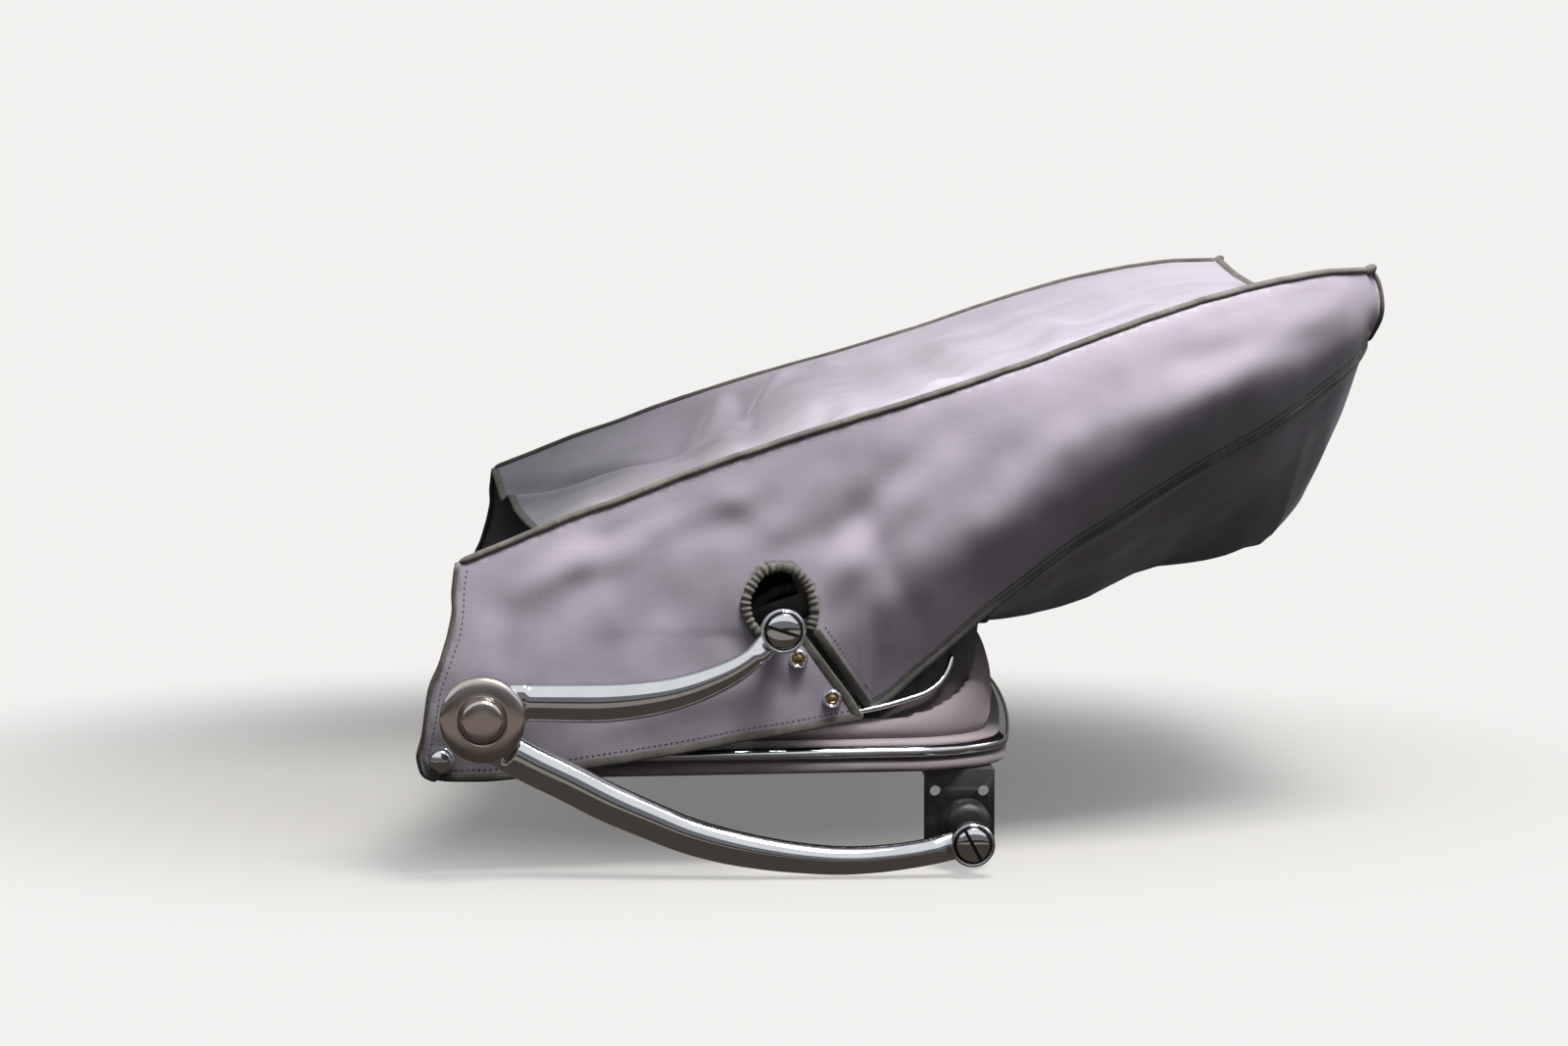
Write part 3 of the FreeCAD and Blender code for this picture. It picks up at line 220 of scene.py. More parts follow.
SEAM_TOP = [
    (-224, 179), (-183, 195), (-136, 214), (-89, 230), (-42, 248), (6, 264), (53, 279), (101, 293), (150, 307),
    (198, 322), (248, 338), (298, 356), (349, 373), (400, 388), (454, 400), (499, 407), (546, 409),
]
SEAM_LOW = [
    (549, 348), (535, 329), (500, 305), (455, 277), (410, 255), (367, 232), (325, 207), (282, 182), (241, 153),
    (207, 128), (183, 108), (150, 81), (126, 61), (108, 51),
]
TAIL_EDGE = [(546, 409), (553, 399), (557, 384), (557, 368), (549, 348)]
FRONT_EDGE = [
    (-241, 4), (-252, 10), (-256, 22), (-254, 34), (-250, 55), (-246, 77), (-239, 97), (-231, 120), (-228, 140),
    (-227, 159), (-224, 179),
]
FLAP_LOW = [(103, 46), (53, 38), (5, 31), (-42, 23), (-90, 16), (-137, 10), (-168, 6), (-205, 3), (-241, 4)]
FLAP_REAR = [(52, 118), (63, 103), (77, 84), (91, 65), (103, 46)]
SLIT_EDGE = [(108, 51), (94, 71), (80, 91), (67, 110), (59, 121)]
IRON_HOLE = [
    (59, 121), (62, 138), (57, 157), (47, 169), (35, 173), (21, 170), (11, 158), (6, 144), (10, 128), (22, 116),
    (38, 112), (52, 118),
]
HALF_WIDTH = [
    (-262, 634), (-224, 631), (-100, 617), (35, 600), (120, 586), (200, 569), (300, 545), (400, 513), (475, 476),
    (520, 446), (560, 408),
]

# How a side stands out between its seams: share of the way down, share of the fullness, share of the tuck below
SIDE_PROFILE = [
    (0, 0, 0), (0.05, 0.26, 0), (0.1, 0.43, 0), (0.2, 0.67, 0), (0.32, 0.88, 0), (0.43, 1.0, 0.01), (0.52, 1.02, 0.05),
    (0.61, 0.95, 0.13), (0.7, 0.8, 0.26), (0.8, 0.58, 0.48), (0.9, 0.3, 0.74), (1.0, 0.0, 1.0),
]

# How far a side is drawn in at its lower seam behind the slit: along X, then inwards
DRAWN_IN = [
    (40, 0), (60, 6), (84, 24), (108, 36), (135, 38), (170, 37), (235, 36), (300, 36), (340, 33), (385, 29), (430, 28),
    (500, 28), (560, 20),
]

SLIT_X, SLIT_TOP = 108, 120      # where the lower seam ends at the slit, and the height where the slit meets the hole
SEAM_INSET = 4                   # how far the upper seam lies inside the half width
SIDE_FULLNESS = 16               # how far a side stands out between its seams where it is fullest
FLAP_TUCK = 5                    # how far the flap is tucked in at its lower edge
TOP_FRONT, TOP_REAR = -224, 546  # the ends of the upper seam along X
TOP_SCOOP = 62                   # how far the top's front edge is cut back in the middle
TAIL_TURN = 0.72                 # the share of the underside's run at which it turns up into the tail

# Folds of the cover's sides: middle along X and up, turn from the X axis, half length, half width, height of fold
SIDE_FOLDS = [
    (-148, 172, 50, 40, 13, 6), (-124, 160, 58, 44, 14, -3), (-108, 180, 30, 44, 13, 4), (-85, 120, 68, 60, 20, -6),
    (-170, 110, 75, 60, 20, 5), (-30, 220, 28, 60, 13, 4), (-16, 206, 20, 70, 15, -3), (12, 216, -20, 46, 13, 2),
    (30, 200, 60, 60, 18, 4), (60, 196, 28, 55, 15, -2.5), (84, 194, 62, 40, 15, -3.5), (108, 192, 58, 50, 16, 5),
    (80, 176, 8, 50, 14, 2), (125, 168, -50, 55, 17, -4), (110, 228, 50, 60, 15, -4),
    (150, 185, 78, 60, 22, 7), (190, 225, 30, 90, 22, -6), (240, 240, 55, 70, 22, 6), (300, 290, 25, 100, 20, -6),
    (350, 300, 20, 110, 18, 6), (420, 345, 15, 90, 14, -4), (470, 360, 35, 60, 14, 4), (-30, 70, 25, 70, 16, 4),
    (-60, 215, 22, 70, 13, -3), (-200, 60, 80, 60, 10, -4), (15, 95, -30, 40, 12, -3),
]


def line_at(table, at):
    """The height of a measured line at places along X."""
    table = sorted(table)
    return np.interp(at, [p[0] for p in table], [p[1] for p in table])


def fold_field(folds, a, b):
    """The sum of long soft ridges: each falls off as a bell across and along its own line."""
    total = np.zeros_like(a)
    for middle_a, middle_b, turn, length, width, height in folds:
        c, s = math.cos(math.radians(turn)), math.sin(math.radians(turn))
        along = (a - middle_a) * c + (b - middle_b) * s
        across = (b - middle_b) * c - (a - middle_a) * s + 6 * np.sin(along / length * 2.0)
        total += height * np.exp(-((across / width) ** 2) - (along / length) ** 4)
    return total


def seam_away(x):
    """The upper seam's distance from the centreline."""
    return line_at(HALF_WIDTH, x) - SEAM_INSET


def side_base(x, z):
    """The side's distance from the centreline without folds: over at its upper seam, full, and tucked in below.

    Behind the slit, which runs along x = 62.5 + 0.703 (110 - z), the cloth is drawn further in than the flap.
    """
    top, low = line_at(SEAM_TOP, x), np.where(x > SLIT_X, line_at(SEAM_LOW, x), line_at(FLAP_LOW, x))
    down = np.clip((top - z) / np.maximum(top - low, 20), 0, 1)
    shape = smooth_line(SIDE_PROFILE, 200)
    out, way = np.interp(down, shape[:, 0], shape[:, 1]), np.interp(down, shape[:, 0], shape[:, 2])
    full = SIDE_FULLNESS * np.interp(x, [106, 240, 430, 540], [0.35, 1.0, 1.0, 0.2])
    behind = (z > SLIT_TOP) | (x > 62.5 + 0.703 * (110 - z))
    drawn = smooth_line(DRAWN_IN, 300)
    tuck = np.where(behind, np.interp(x, drawn[:, 0], drawn[:, 1]), FLAP_TUCK)
    return seam_away(x) + full * out - tuck * way


def side_distance(x, z):
    """The side's distance from the centreline with its folds and small puckers, which die out at the seams."""
    flap_foot, band = 10.0, 0.12  # the band beside a seam, as a share of the height, in which folds grow
    top, low = line_at(SEAM_TOP, x), np.where(x > SLIT_X, line_at(SEAM_LOW, x), flap_foot)
    share = np.clip((z - low) / np.maximum(top - low, 20), 0, 1)
    puckers = 1.2 * noise(3, x / 23, z / 17) + 2.0 * noise(5, x / 60, z / 45)
    held = np.clip((1 - share) / band, 0, 1) * np.where(x > SLIT_X, np.clip(share / band, 0, 1), 1.0)
    return side_base(x, z) + held * (0.65 * fold_field(SIDE_FOLDS, x, z) + 0.8 * puckers)


def inside(outline, x, z):
    """Whether points lie inside a closed outline, by counting the crossings of a line to the right."""
    count = np.zeros(x.shape, int)
    for (x0, z0), (x1, z1) in zip(outline, np.roll(outline, -1, axis=0)):
        if z0 != z1:
            hit = (z0 > z) != (z1 > z)
            count += hit & (x < (x1 - x0) * (z - z0) / (z1 - z0) + x0)
    return count % 2 == 1


def nearest(outline, points):
    """The nearest points on a closed outline."""
    start = outline
    way = np.roll(outline, -1, axis=0) - start
    span = (way**2).sum(1) + 1e-12
    share = np.clip(((points[:, None] - start) * way).sum(2) / span, 0, 1)
    foot = start + way * share[..., None]
    best = ((points[:, None] - foot) ** 2).sum(2).argmin(1)
    return foot[np.arange(len(points)), best]


def trimmed_sheet(outline, step):
    """A square net cut to an outline: its points, its faces, and its rim points pulled onto the outline."""
    low, high = outline.min(0) - step, outline.max(0) + step
    x, z = np.meshgrid(np.arange(low[0], high[0], step), np.arange(low[1], high[1], step), indexing="ij")
    points = np.column_stack([x.ravel(), z.ravel()])
    keep = inside(outline, points[:, 0], points[:, 1])
    near = nearest(outline, points)
    keep |= np.linalg.norm(near - points, axis=1) < 0.3 * step
    faces = grid_faces(*x.shape)
    faces = faces[keep[faces].all(1)]
    used, packed = np.unique(faces, return_inverse=True)
    faces = packed.reshape(-1, 4)
    points, near = points[used], near[used]
    edges = np.sort(np.concatenate([faces[:, [k, (k + 1) % 4]] for k in range(4)]), axis=1)
    edges, times = np.unique(edges, axis=0, return_counts=True)
    rim = np.unique(edges[times == 1])
    points[rim] = near[rim]
    return points, faces[:, ::-1]


def side_outline(step=4.0):
    """The closed outline of a cover side: front, upper seam, tail, lower seam, slit, hole and flap."""
    out = []
    for line in (FRONT_EDGE, SEAM_TOP, TAIL_EDGE, SEAM_LOW, SLIT_EDGE, IRON_HOLE, FLAP_REAR, FLAP_LOW):
        length = np.linalg.norm(np.diff(np.asarray(line, float), axis=0), axis=1).sum()
        out.append(smooth_line(line, max(int(length / step), 4))[:-1])
    return np.vstack(out)


def shifted(line, along, up):
    """A measured line moved along X and up."""
    return [(x + along, z + up) for x, z in line]


def on_side(line, count, out):
    """A line drawn on the cover's left side, as points in space in millimetres, lifted off the cloth."""
    flat = smooth_line(line, count)
    return np.column_stack([flat[:, 0], -side_distance(flat[:, 0], flat[:, 1]) - out, flat[:, 1]])


# Folds of the cover's top: middle along X and side distance, turn from the X axis, half length, half width, height
TOP_FOLDS = [
    (-150, 470, -52, 150, 20, -9), (-120, 400, -50, 170, 18, 7), (-60, 330, -58, 150, 16, -5),
    (-150, -470, 52, 150, 20, -9), (-110, -390, 50, 170, 18, 7), (10, 420, 84, 170, 15, 5),
    (44, 380, 96, 190, 13, -5), (-20, 150, 97, 160, 18, 4), (70, 430, 78, 130, 12, 5), (30, -300, 84, 200, 15, 5),
    (95, -180, 88, 260, 14, -4), (160, -380, 75, 160, 16, 4), (-120, 60, 100, 190, 24, 5), (230, 120, 92, 280, 16, 4),
    (300, -220, 86, 240, 15, 4), (345, 180, 94, 240, 14, -1.5), (430, 120, 92, 260, 20, -4),
    (-70, -520, 40, 90, 13, 4), (130, 500, 104, 90, 13, 4), (480, -200, 84, 180, 16, 4),
]

# How far the top sags half way between the seams: along X, then down. It lies in ridges over the folded bows
TOP_SAG = [
    (-262, 66), (-160, 60), (-110, 48), (-60, 44), (-20, 51), (15, 33), (45, 36), (80, 18), (108, 14), (150, 20),
    (180, 16), (215, 20), (250, 12), (290, 18), (325, 13), (362, 16), (400, 14), (475, 20), (520, 24), (554, 28),
]


def top_surface(run, share):
    """The cover's top: slung between the two top seams from its scooped front edge to the tail.

    The front edge is cut back in an arc, and the run from it to the tail is shared out from 0 to 1. The height is
    seam - sag * (1 - |share|^p) + folds, with p falling from 4.2 in front to 2.2 behind.
    """
    start = TOP_FRONT + TOP_SCOOP * (1 - share**2)
    x = start + (TOP_REAR - start) * run
    y = seam_away(x) * share
    smooth = smooth_line(TOP_SAG, 300)
    sag = np.interp(x, smooth[:, 0], smooth[:, 1])
    dip = 1 - np.abs(share) ** np.interp(x, [-60, 100], [4.2, 2.2])
    free = np.clip(dip * 3, 0, 1)
    folds = 1.5 * fold_field(TOP_FOLDS, x, y) * free
    folds = folds + (1.8 * noise(11, x / 60, y / 130) + 0.9 * noise(12, x / 25, y / 40)) * free
    return np.stack([x, y, line_at(SEAM_TOP, x) - sag * dip + folds], axis=-1)


def bottom_surface(along, share):
    """The cover's underside: slung between the two lower seams, from the open mouth round to the tail's top edge.

    The height is middle + (seam - middle) * |share|^p + folds, with p falling from 4.5 to 2.2. So it falls steeply from
    each seam, with a long crease beside it, and hangs nearly level between.
    """
    x = np.interp(along, [0, TAIL_TURN, 0.86, 0.93, 1.0], [212, 500, 545, 556, 552])
    turns = [0, TAIL_TURN, 0.84, 0.92, 1.0]
    seam_x = np.interp(along, turns, [212, 500, 545, 557, 546])
    seam_z = np.interp(along, turns, [132, 305, 345, 376, 406])
    seam_z = np.where(along < TAIL_TURN, line_at(SEAM_LOW, seam_x), seam_z)
    middle_z = np.interp(
        along, [0, 0.14, 0.28, 0.37, 0.47, 0.63, TAIL_TURN, 0.8, 0.86, 0.92, 1.0],
        [97, 98, 107, 121, 134, 139, 145, 168, 215, 285, 380],
    )
    half = side_base(seam_x, seam_z) - 1
    away, crease_at, hollow_at, lifts_until = np.abs(share), 0.93, 0.87, 0.86
    rise = away ** np.interp(along, [0, 0.35, 0.7, 1.0], [4.5, 3.4, 2.6, 2.2])
    z = middle_z + (seam_z - middle_z) * rise
    y = half * share
    free = np.clip((1 - away) / 0.05, 0, 1)
    crease = np.exp(-(((away - crease_at) / 0.018) ** 2)) - 0.8 * np.exp(-(((away - hollow_at) / 0.03) ** 2))
    crease = crease * (3.5 + 1.5 * noise(23, x / 45, y / 300)) * (along < 0.85)
    folds = 6 * noise(21, x / 48, y / 70, z / 60) * free + 1.6 * noise(22, x / 20, y / 30, z / 30) * free
    out = np.where(along > TAIL_TURN, np.abs(folds) * np.clip((along - TAIL_TURN) / 0.08, 0, 1) * (1 - rise), 0)
    lift = (folds + crease) * np.clip((lifts_until - along) / 0.1, 0, 1)
    return np.stack([x + (seam_x - x) * rise - out, y, z + lift], axis=-1)


# Materials

def linear(hex_colour):
    """A written sRGB colour as the linear values that the shader works with."""
    values = [int(hex_colour[k:k + 2], 16) / 255 for k in (1, 3, 5)]
    return tuple(v / 12.92 if v <= 0.04045 else ((v + 0.055) / 1.055) ** 2.4 for v in values)


def add(tree, kind, own=None, values=None, links=None):
    """Adds a node with its own settings, the values of its sockets and its links."""
    node = tree.nodes.new(kind)
    for name, value in (own or {}).items():
        setattr(node, name, value)
    for name, value in (values or {}).items():
        node.inputs[name].default_value = value
    for name, source in (links or {}).items():
        tree.links.new(source, node.inputs[name])
    return node


def combined(tree, operation, first, second):
    """Two values put together by a math node."""
    return add(tree, "ShaderNodeMath", {"operation": operation}, links={0: first, 1: second}).outputs[0]


def bare_tree(owner):
    """The empty node tree of a new material or world."""
    owner.use_nodes = True
    owner.node_tree.nodes.clear()
    return owner.node_tree


def new_finish(name, **values):
    """A material with its shader and output. Underscores in a value's name stand for the socket's spaces."""
    material = bpy.data.materials.new(name)
    tree = bare_tree(material)
    sockets = {key.replace("_", " "): value for key, value in values.items()}
    shader = add(tree, "ShaderNodeBsdfPrincipled", values=sockets)
    add(tree, "ShaderNodeOutputMaterial", links={"Surface": shader.outputs["BSDF"]})
    return material, tree, shader


def places(tree, source, scale=(1.0, 1.0, 1.0), turn=0.0):
    """Places on the piece in metres, stretched and turned about its own Z axis."""
    coordinates = add(tree, "ShaderNodeTexCoord")
    values = {"Scale": scale, "Rotation": (0.0, 0.0, turn)}
    return add(tree, "ShaderNodeMapping", values=values, links={"Vector": coordinates.outputs[source]}).outputs[0]


def grain(tree, scale, detail, rough, at=None):
    """Noise of a given number of lumps to the metre, in the object's own space unless another is given."""
    values = {"Scale": scale, "Detail": detail, "Roughness": rough}
    links = {"Vector": at or places(tree, "Object")}
    return add(tree, "ShaderNodeTexNoise", values=values, links=links).outputs["Fac"]


def between(tree, factor, low, high, to_low=0.0, to_high=1.0):
    """A factor's stretch from low to high, spread smoothly over another stretch."""
    values = {"From Min": low, "From Max": high, "To Min": to_low, "To Max": to_high}
    own = {"interpolation_type": "SMOOTHSTEP"}
    return add(tree, "ShaderNodeMapRange", own, values, {"Value": factor}).outputs["Result"]


def mixed(tree, factor, first, second):
    """A colour between two others, each written or linked."""
    node = add(tree, "ShaderNodeMix", {"data_type": "RGBA"}, links={0: factor})
    for socket, colour in ((6, first), (7, second)):
        if isinstance(colour, tuple):
            node.inputs[socket].default_value = (*colour[:3], 1.0)
        else:
            tree.links.new(colour, node.inputs[socket])
    return node.outputs[2]


def shade(colour, factor):
    """A colour made darker or lighter."""
    return tuple(min(c * factor, 1.0) for c in colour[:3])


def bumped(tree, shader, height, strength, distance):
    """Relief of a height in metres on the shader's surface."""
    links = {"Height": height}
    if shader.inputs["Normal"].links:
        links["Normal"] = shader.inputs["Normal"].links[0].from_socket
    node = add(tree, "ShaderNodeBump", values={"Strength": strength, "Distance": distance}, links=links)
    tree.links.new(node.outputs["Normal"], shader.inputs["Normal"])


def threads(tree, source, pitch, bend=0.6):
    """A plain weave: the threads of the two directions as waves, lifted over each other in turn."""
    heights = []
    for way in ("X", "Y"):
        own = {"wave_type": "BANDS", "bands_direction": way, "wave_profile": "SIN"}
        values = {"Scale": math.pi / (10 * pitch), "Distortion": bend, "Detail": 2.0, "Detail Scale": 0.6}
        links = {"Vector": places(tree, source)}
        heights.append(add(tree, "ShaderNodeTexWave", own, values, links).outputs["Fac"])
    return combined(tree, "MULTIPLY", *heights)


def duck_cloth(name, colour, source="UV", pitch=0.0024, worn=0.78):
    """Cotton duck, proofed: a dull, close plain weave with a soft bloom where it turns from the eye.

    The real threads are 0.6 mm apart. They are drawn four times as coarse so that they show.
    """
    material, tree, shader = new_finish(
        name, Roughness=0.8, Sheen_Weight=0.3, Sheen_Roughness=0.4, Specular_IOR_Level=0.3,
    )
    weave = threads(tree, source, pitch)
    cloudy = grain(tree, 7.0, 4.0, 0.55)
    slubs = grain(tree, 3.0, 3.0, 0.6, places(tree, source, (12.0, 420.0, 12.0)))
    faded = mixed(tree, between(tree, cloudy, 0.32, 0.68), shade(colour, worn + 0.06), shade(colour, 1.08))
    streaked = mixed(tree, between(tree, slubs, 0.3, 0.75, 0.0, 0.35), faded, shade(colour, worn))
    # Painted shade: the gaps between the threads are darkened a little.
    thread_gap_shaded = mixed(tree, between(tree, weave, 0.0, 0.5, 0.07, 0.0), streaked, shade(colour, worn * 0.7))
    tree.links.new(thread_gap_shaded, shader.inputs["Base Color"])
    bumped(tree, shader, weave, 0.16, 0.0003)
    bumped(tree, shader, grain(tree, 45.0, 3.0, 0.6), 0.2, 0.001)
    return material


def bound_cloth(name, colour):
    """Bias tape of the same duck, darker: tight cloth with a fine weave and the creases of its pull."""
    material, tree, shader = new_finish(
        name, Roughness=0.78, Sheen_Weight=0.15, Sheen_Roughness=0.4, Specular_IOR_Level=0.3,
    )
    cloudy = grain(tree, 30.0, 3.0, 0.6)
    pulls = grain(tree, 1.0, 2.0, 0.5, places(tree, "UV", (160.0, 30.0, 1.0), 0.5))
    base = mixed(tree, between(tree, cloudy, 0.35, 0.7), shade(colour, 0.72), shade(colour, 1.18))
    # Painted shade: the creases of the pull are darkened to half the colour.
    crease_shaded = mixed(tree, between(tree, pulls, 0.52, 0.72, 0.0, 0.5), base, shade(colour, 0.5))
    tree.links.new(crease_shaded, shader.inputs["Base Color"])
    bumped(tree, shader, threads(tree, "UV", 0.0018), 0.3, 0.0003)
    bumped(tree, shader, pulls, 0.5, 0.0012)
    return material


def plated(name, colour, roughness=0.045, waves=0.12):
    """Chromium plate on polished brass: a mirror with the faint waves of the hand that buffed it, and thin smears."""
    material, tree, shader = new_finish(name, Metallic=1.0)
    smears = grain(tree, 38.0, 5.0, 0.65, places(tree, "Object", (1.0, 1.0, 2.5)))
    tint = mixed(tree, between(tree, smears, 0.35, 0.7), shade(colour, 0.94), colour)
    tree.links.new(tint, shader.inputs["Base Color"])
    tree.links.new(between(tree, smears, 0.45, 0.8, roughness, roughness + 0.07), shader.inputs["Roughness"])
    bumped(tree, shader, grain(tree, 26.0, 1.0, 0.4), waves, 0.0015)
    return material


def turned(name, colour, centre):
    """Chromium plate over a turned face: fine rings from the lathe, 0.4 mm apart and drawn at 1 mm, dull the mirror."""
    material, tree, shader = new_finish(name, Metallic=1.0, Roughness=0.2)
    values = {"Location": (-centre[0], 0.0, -centre[1])}
    coordinates = add(tree, "ShaderNodeTexCoord")
    at = add(tree, "ShaderNodeMapping", values=values, links={"Vector": coordinates.outputs["Object"]}).outputs[0]
    own = {"wave_type": "RINGS", "rings_direction": "Y", "wave_profile": "SIN"}
    rings = add(tree, "ShaderNodeTexWave", own, {"Scale": 300.0, "Distortion": 0.4}, {"Vector": at}).outputs["Fac"]
    smears = grain(tree, 30.0, 4.0, 0.6)
    tint = mixed(tree, between(tree, smears, 0.3, 0.7), shade(colour, 0.9), colour)
    tree.links.new(tint, shader.inputs["Base Color"])
    tree.links.new(between(tree, smears, 0.35, 0.75, 0.15, 0.26), shader.inputs["Roughness"])
    bumped(tree, shader, rings, 0.08, 0.0002)
    return material


def zinc_steel(name, colour):
    """Zinc-plated mild steel: a grey metal with the cloudy spangle of the bath and dull scuffs."""
    material, tree, shader = new_finish(name, Metallic=1.0)
    links = {"Vector": places(tree, "Object")}
    spangle = add(tree, "ShaderNodeTexVoronoi", {"feature": "F1"}, {"Scale": 140.0}, links).outputs["Color"]
    clouds = grain(tree, 50.0, 4.0, 0.6)
    soft = add(tree, "ShaderNodeSeparateColor", links={"Color": spangle}).outputs[0]
    base = mixed(tree, between(tree, soft, 0.0, 1.0, 0.0, 0.4), shade(colour, 0.75), colour)
    scuffed = mixed(tree, between(tree, clouds, 0.4, 0.75), base, shade(colour, 0.55))
    tree.links.new(scuffed, shader.inputs["Base Color"])
    tree.links.new(between(tree, clouds, 0.3, 0.7, 0.32, 0.55), shader.inputs["Roughness"])
    bumped(tree, shader, clouds, 0.2, 0.0003)
    return material


def chassis_enamel(name, colour):
    """Brushed black enamel on forged steel: a thick gloss with runs, dust in the corners and grey rubs on the edges."""
    material, tree, shader = new_finish(name, Coat_Weight=0.35, Coat_Roughness=0.15)
    dust = grain(tree, 22.0, 5.0, 0.65)
    brushed = grain(tree, 3.0, 3.0, 0.6, places(tree, "Object", (3.0, 60.0, 60.0)))
    edge = add(tree, "ShaderNodeNewGeometry").outputs["Pointiness"]
    base = mixed(tree, between(tree, dust, 0.5, 0.8, 0.0, 0.45), colour, (0.09, 0.08, 0.075))
    rubbed = mixed(tree, between(tree, edge, 0.56, 0.66, 0.0, 0.6), base, (0.16, 0.155, 0.15))
    tree.links.new(rubbed, shader.inputs["Base Color"])
    tree.links.new(between(tree, dust, 0.35, 0.75, 0.28, 0.6), shader.inputs["Roughness"])
    bumped(tree, shader, brushed, 0.25, 0.0004)
    return material


def varnished_ash(name, colour):
    """Steam-bent ash under spar varnish: open grain lines 1 to 4 mm apart along the bend, pores and a warm gloss."""
    material, tree, shader = new_finish(name, Coat_Weight=0.4, Coat_Roughness=0.12, Roughness=0.42)
    growth = grain(tree, 4.0, 4.0, 0.6, places(tree, "Object", (1.5, 22.0, 60.0)))
    pores = grain(tree, 1.6, 2.0, 0.7, places(tree, "Object", (14.0, 400.0, 700.0)))
    base = mixed(tree, between(tree, growth, 0.34, 0.66), shade(colour, 0.62), shade(colour, 1.1))
    open_grain = mixed(tree, between(tree, pores, 0.58, 0.74, 0.0, 0.7), base, shade(colour, 0.35))
    tree.links.new(open_grain, shader.inputs["Base Color"])
    bumped(tree, shader, pores, 0.2, 0.0003)
    return material


def moulded_rubber(name, colour):
    """Moulded black rubber: nearly matt, with a grey bloom and the fine skin of the mould."""
    material, tree, shader = new_finish(name, Specular_IOR_Level=0.4)
    bloom = grain(tree, 60.0, 4.0, 0.6)
    tint = mixed(tree, between(tree, bloom, 0.45, 0.75, 0.0, 0.5), colour, (0.05, 0.048, 0.046))
    tree.links.new(tint, shader.inputs["Base Color"])
    tree.links.new(between(tree, bloom, 0.3, 0.7, 0.35, 0.6), shader.inputs["Roughness"])
    bumped(tree, shader, grain(tree, 700.0, 2.0, 0.5), 0.15, 0.0002)
    return material


# Each finish: its maker, its colour in the panel and what else the maker needs
FINISHES = {
    "cover_duck": (duck_cloth, "cover"),
    "tape": (bound_cloth, "tape"),
    "stitch_thread": (bound_cloth, "thread"),
    "hood_duck": (duck_cloth, "hood", "Object"),
    "hood_inner": (duck_cloth, "inner", "Object"),
    "hood_lining": (duck_cloth, "lining", "Object"),
    "chromium": (plated, "chromium"),
    "turned_chromium": (turned, "turned", (KNUCKLE[0] * MM, KNUCKLE[1] * MM)),
    "zinc_steel": (zinc_steel, "zinc"),
    "black_enamel": (chassis_enamel, "enamel"),
    "varnished_ash": (varnished_ash, "ash"),
    "moulded_rubber": (moulded_rubber, "rubber"),
    # Black enamel in the screws' slots and round their rims paints their shade.
    "slot_tarnish": (chassis_enamel, "enamel"),
    "stud_eye": (plated, "stud", 0.12, 0.2),
}


def finish_for(name):
    """The named finish, made once and then kept."""
    if name in bpy.data.materials:
        return bpy.data.materials[name]
    maker, colour, *more = FINISHES[name]
    return maker(name, tuple(getattr(bpy.context.scene.hood_colours, colour)), *more)


# What a piece needs to join the model


def dress(obj, finish, body, *nodes):
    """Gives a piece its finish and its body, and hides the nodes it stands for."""
    obj.data.materials.clear()
    obj.data.materials.append(finish_for(finish))
    if body:
        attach(obj, body)
    if nodes:
        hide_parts(*nodes)


def walled(obj, thickness, offset=0.0):
    """Gives a sheet its real thickness."""
    wall = obj.modifiers.new("thickness", "SOLIDIFY")
    wall.thickness, wall.offset = thickness, offset


def smoothed(obj):
    """Rounds a coarse net."""
    rounder = obj.modifiers.new("rounding", "SUBSURF")
    rounder.levels = rounder.render_levels = 1


def applied(obj):
    """Replaces a piece's mesh by what its modifiers make of it."""
    view = bpy.context.evaluated_depsgraph_get()
    mesh = bpy.data.meshes.new_from_object(obj.evaluated_get(view), depsgraph=view)
    obj.modifiers.clear()
    old, obj.data = obj.data, mesh
    bpy.data.meshes.remove(old)


def places_of(mesh):
    """A mesh's points as an array."""
    out = np.empty(len(mesh.vertices) * 3, np.float32)
    mesh.vertices.foreach_get("co", out)
    return out.reshape(-1, 3).astype(float)


def plump(obj, voxel, cap):
    """Fills a soft piece with air for a moment, so that its cloth swells and creases, and stops each point at a cap."""
    steps = 20
    net = obj.modifiers.new("net", "REMESH")
    net.mode, net.voxel_size = "VOXEL", voxel
    applied(obj)
    before = places_of(obj.data)
    cloth = obj.modifiers.new("cloth", "CLOTH")
    own = cloth.settings
    own.quality, own.mass = 5, 0.3
    own.use_pressure, own.uniform_pressure_force = True, 4.0
    own.effector_weights.gravity = 0.0
    own.tension_stiffness = own.compression_stiffness = 15.0
    own.bending_stiffness = 0.5
    scene = bpy.context.scene
    cloth.point_cache.frame_start, cloth.point_cache.frame_end = 1, steps
    for step in range(1, steps + 1):
        scene.frame_set(step)
    applied(obj)
    scene.frame_set(1)
    move = places_of(obj.data) - before
    length = np.linalg.norm(move, axis=1)[:, None]
    after = before + move * np.minimum(1.0, cap / np.maximum(length, 1e-9))
    obj.data.vertices.foreach_set("co", after.ravel())
    obj.data.polygons.foreach_set("use_smooth", np.ones(len(obj.data.polygons), bool))
    obj.data.update()


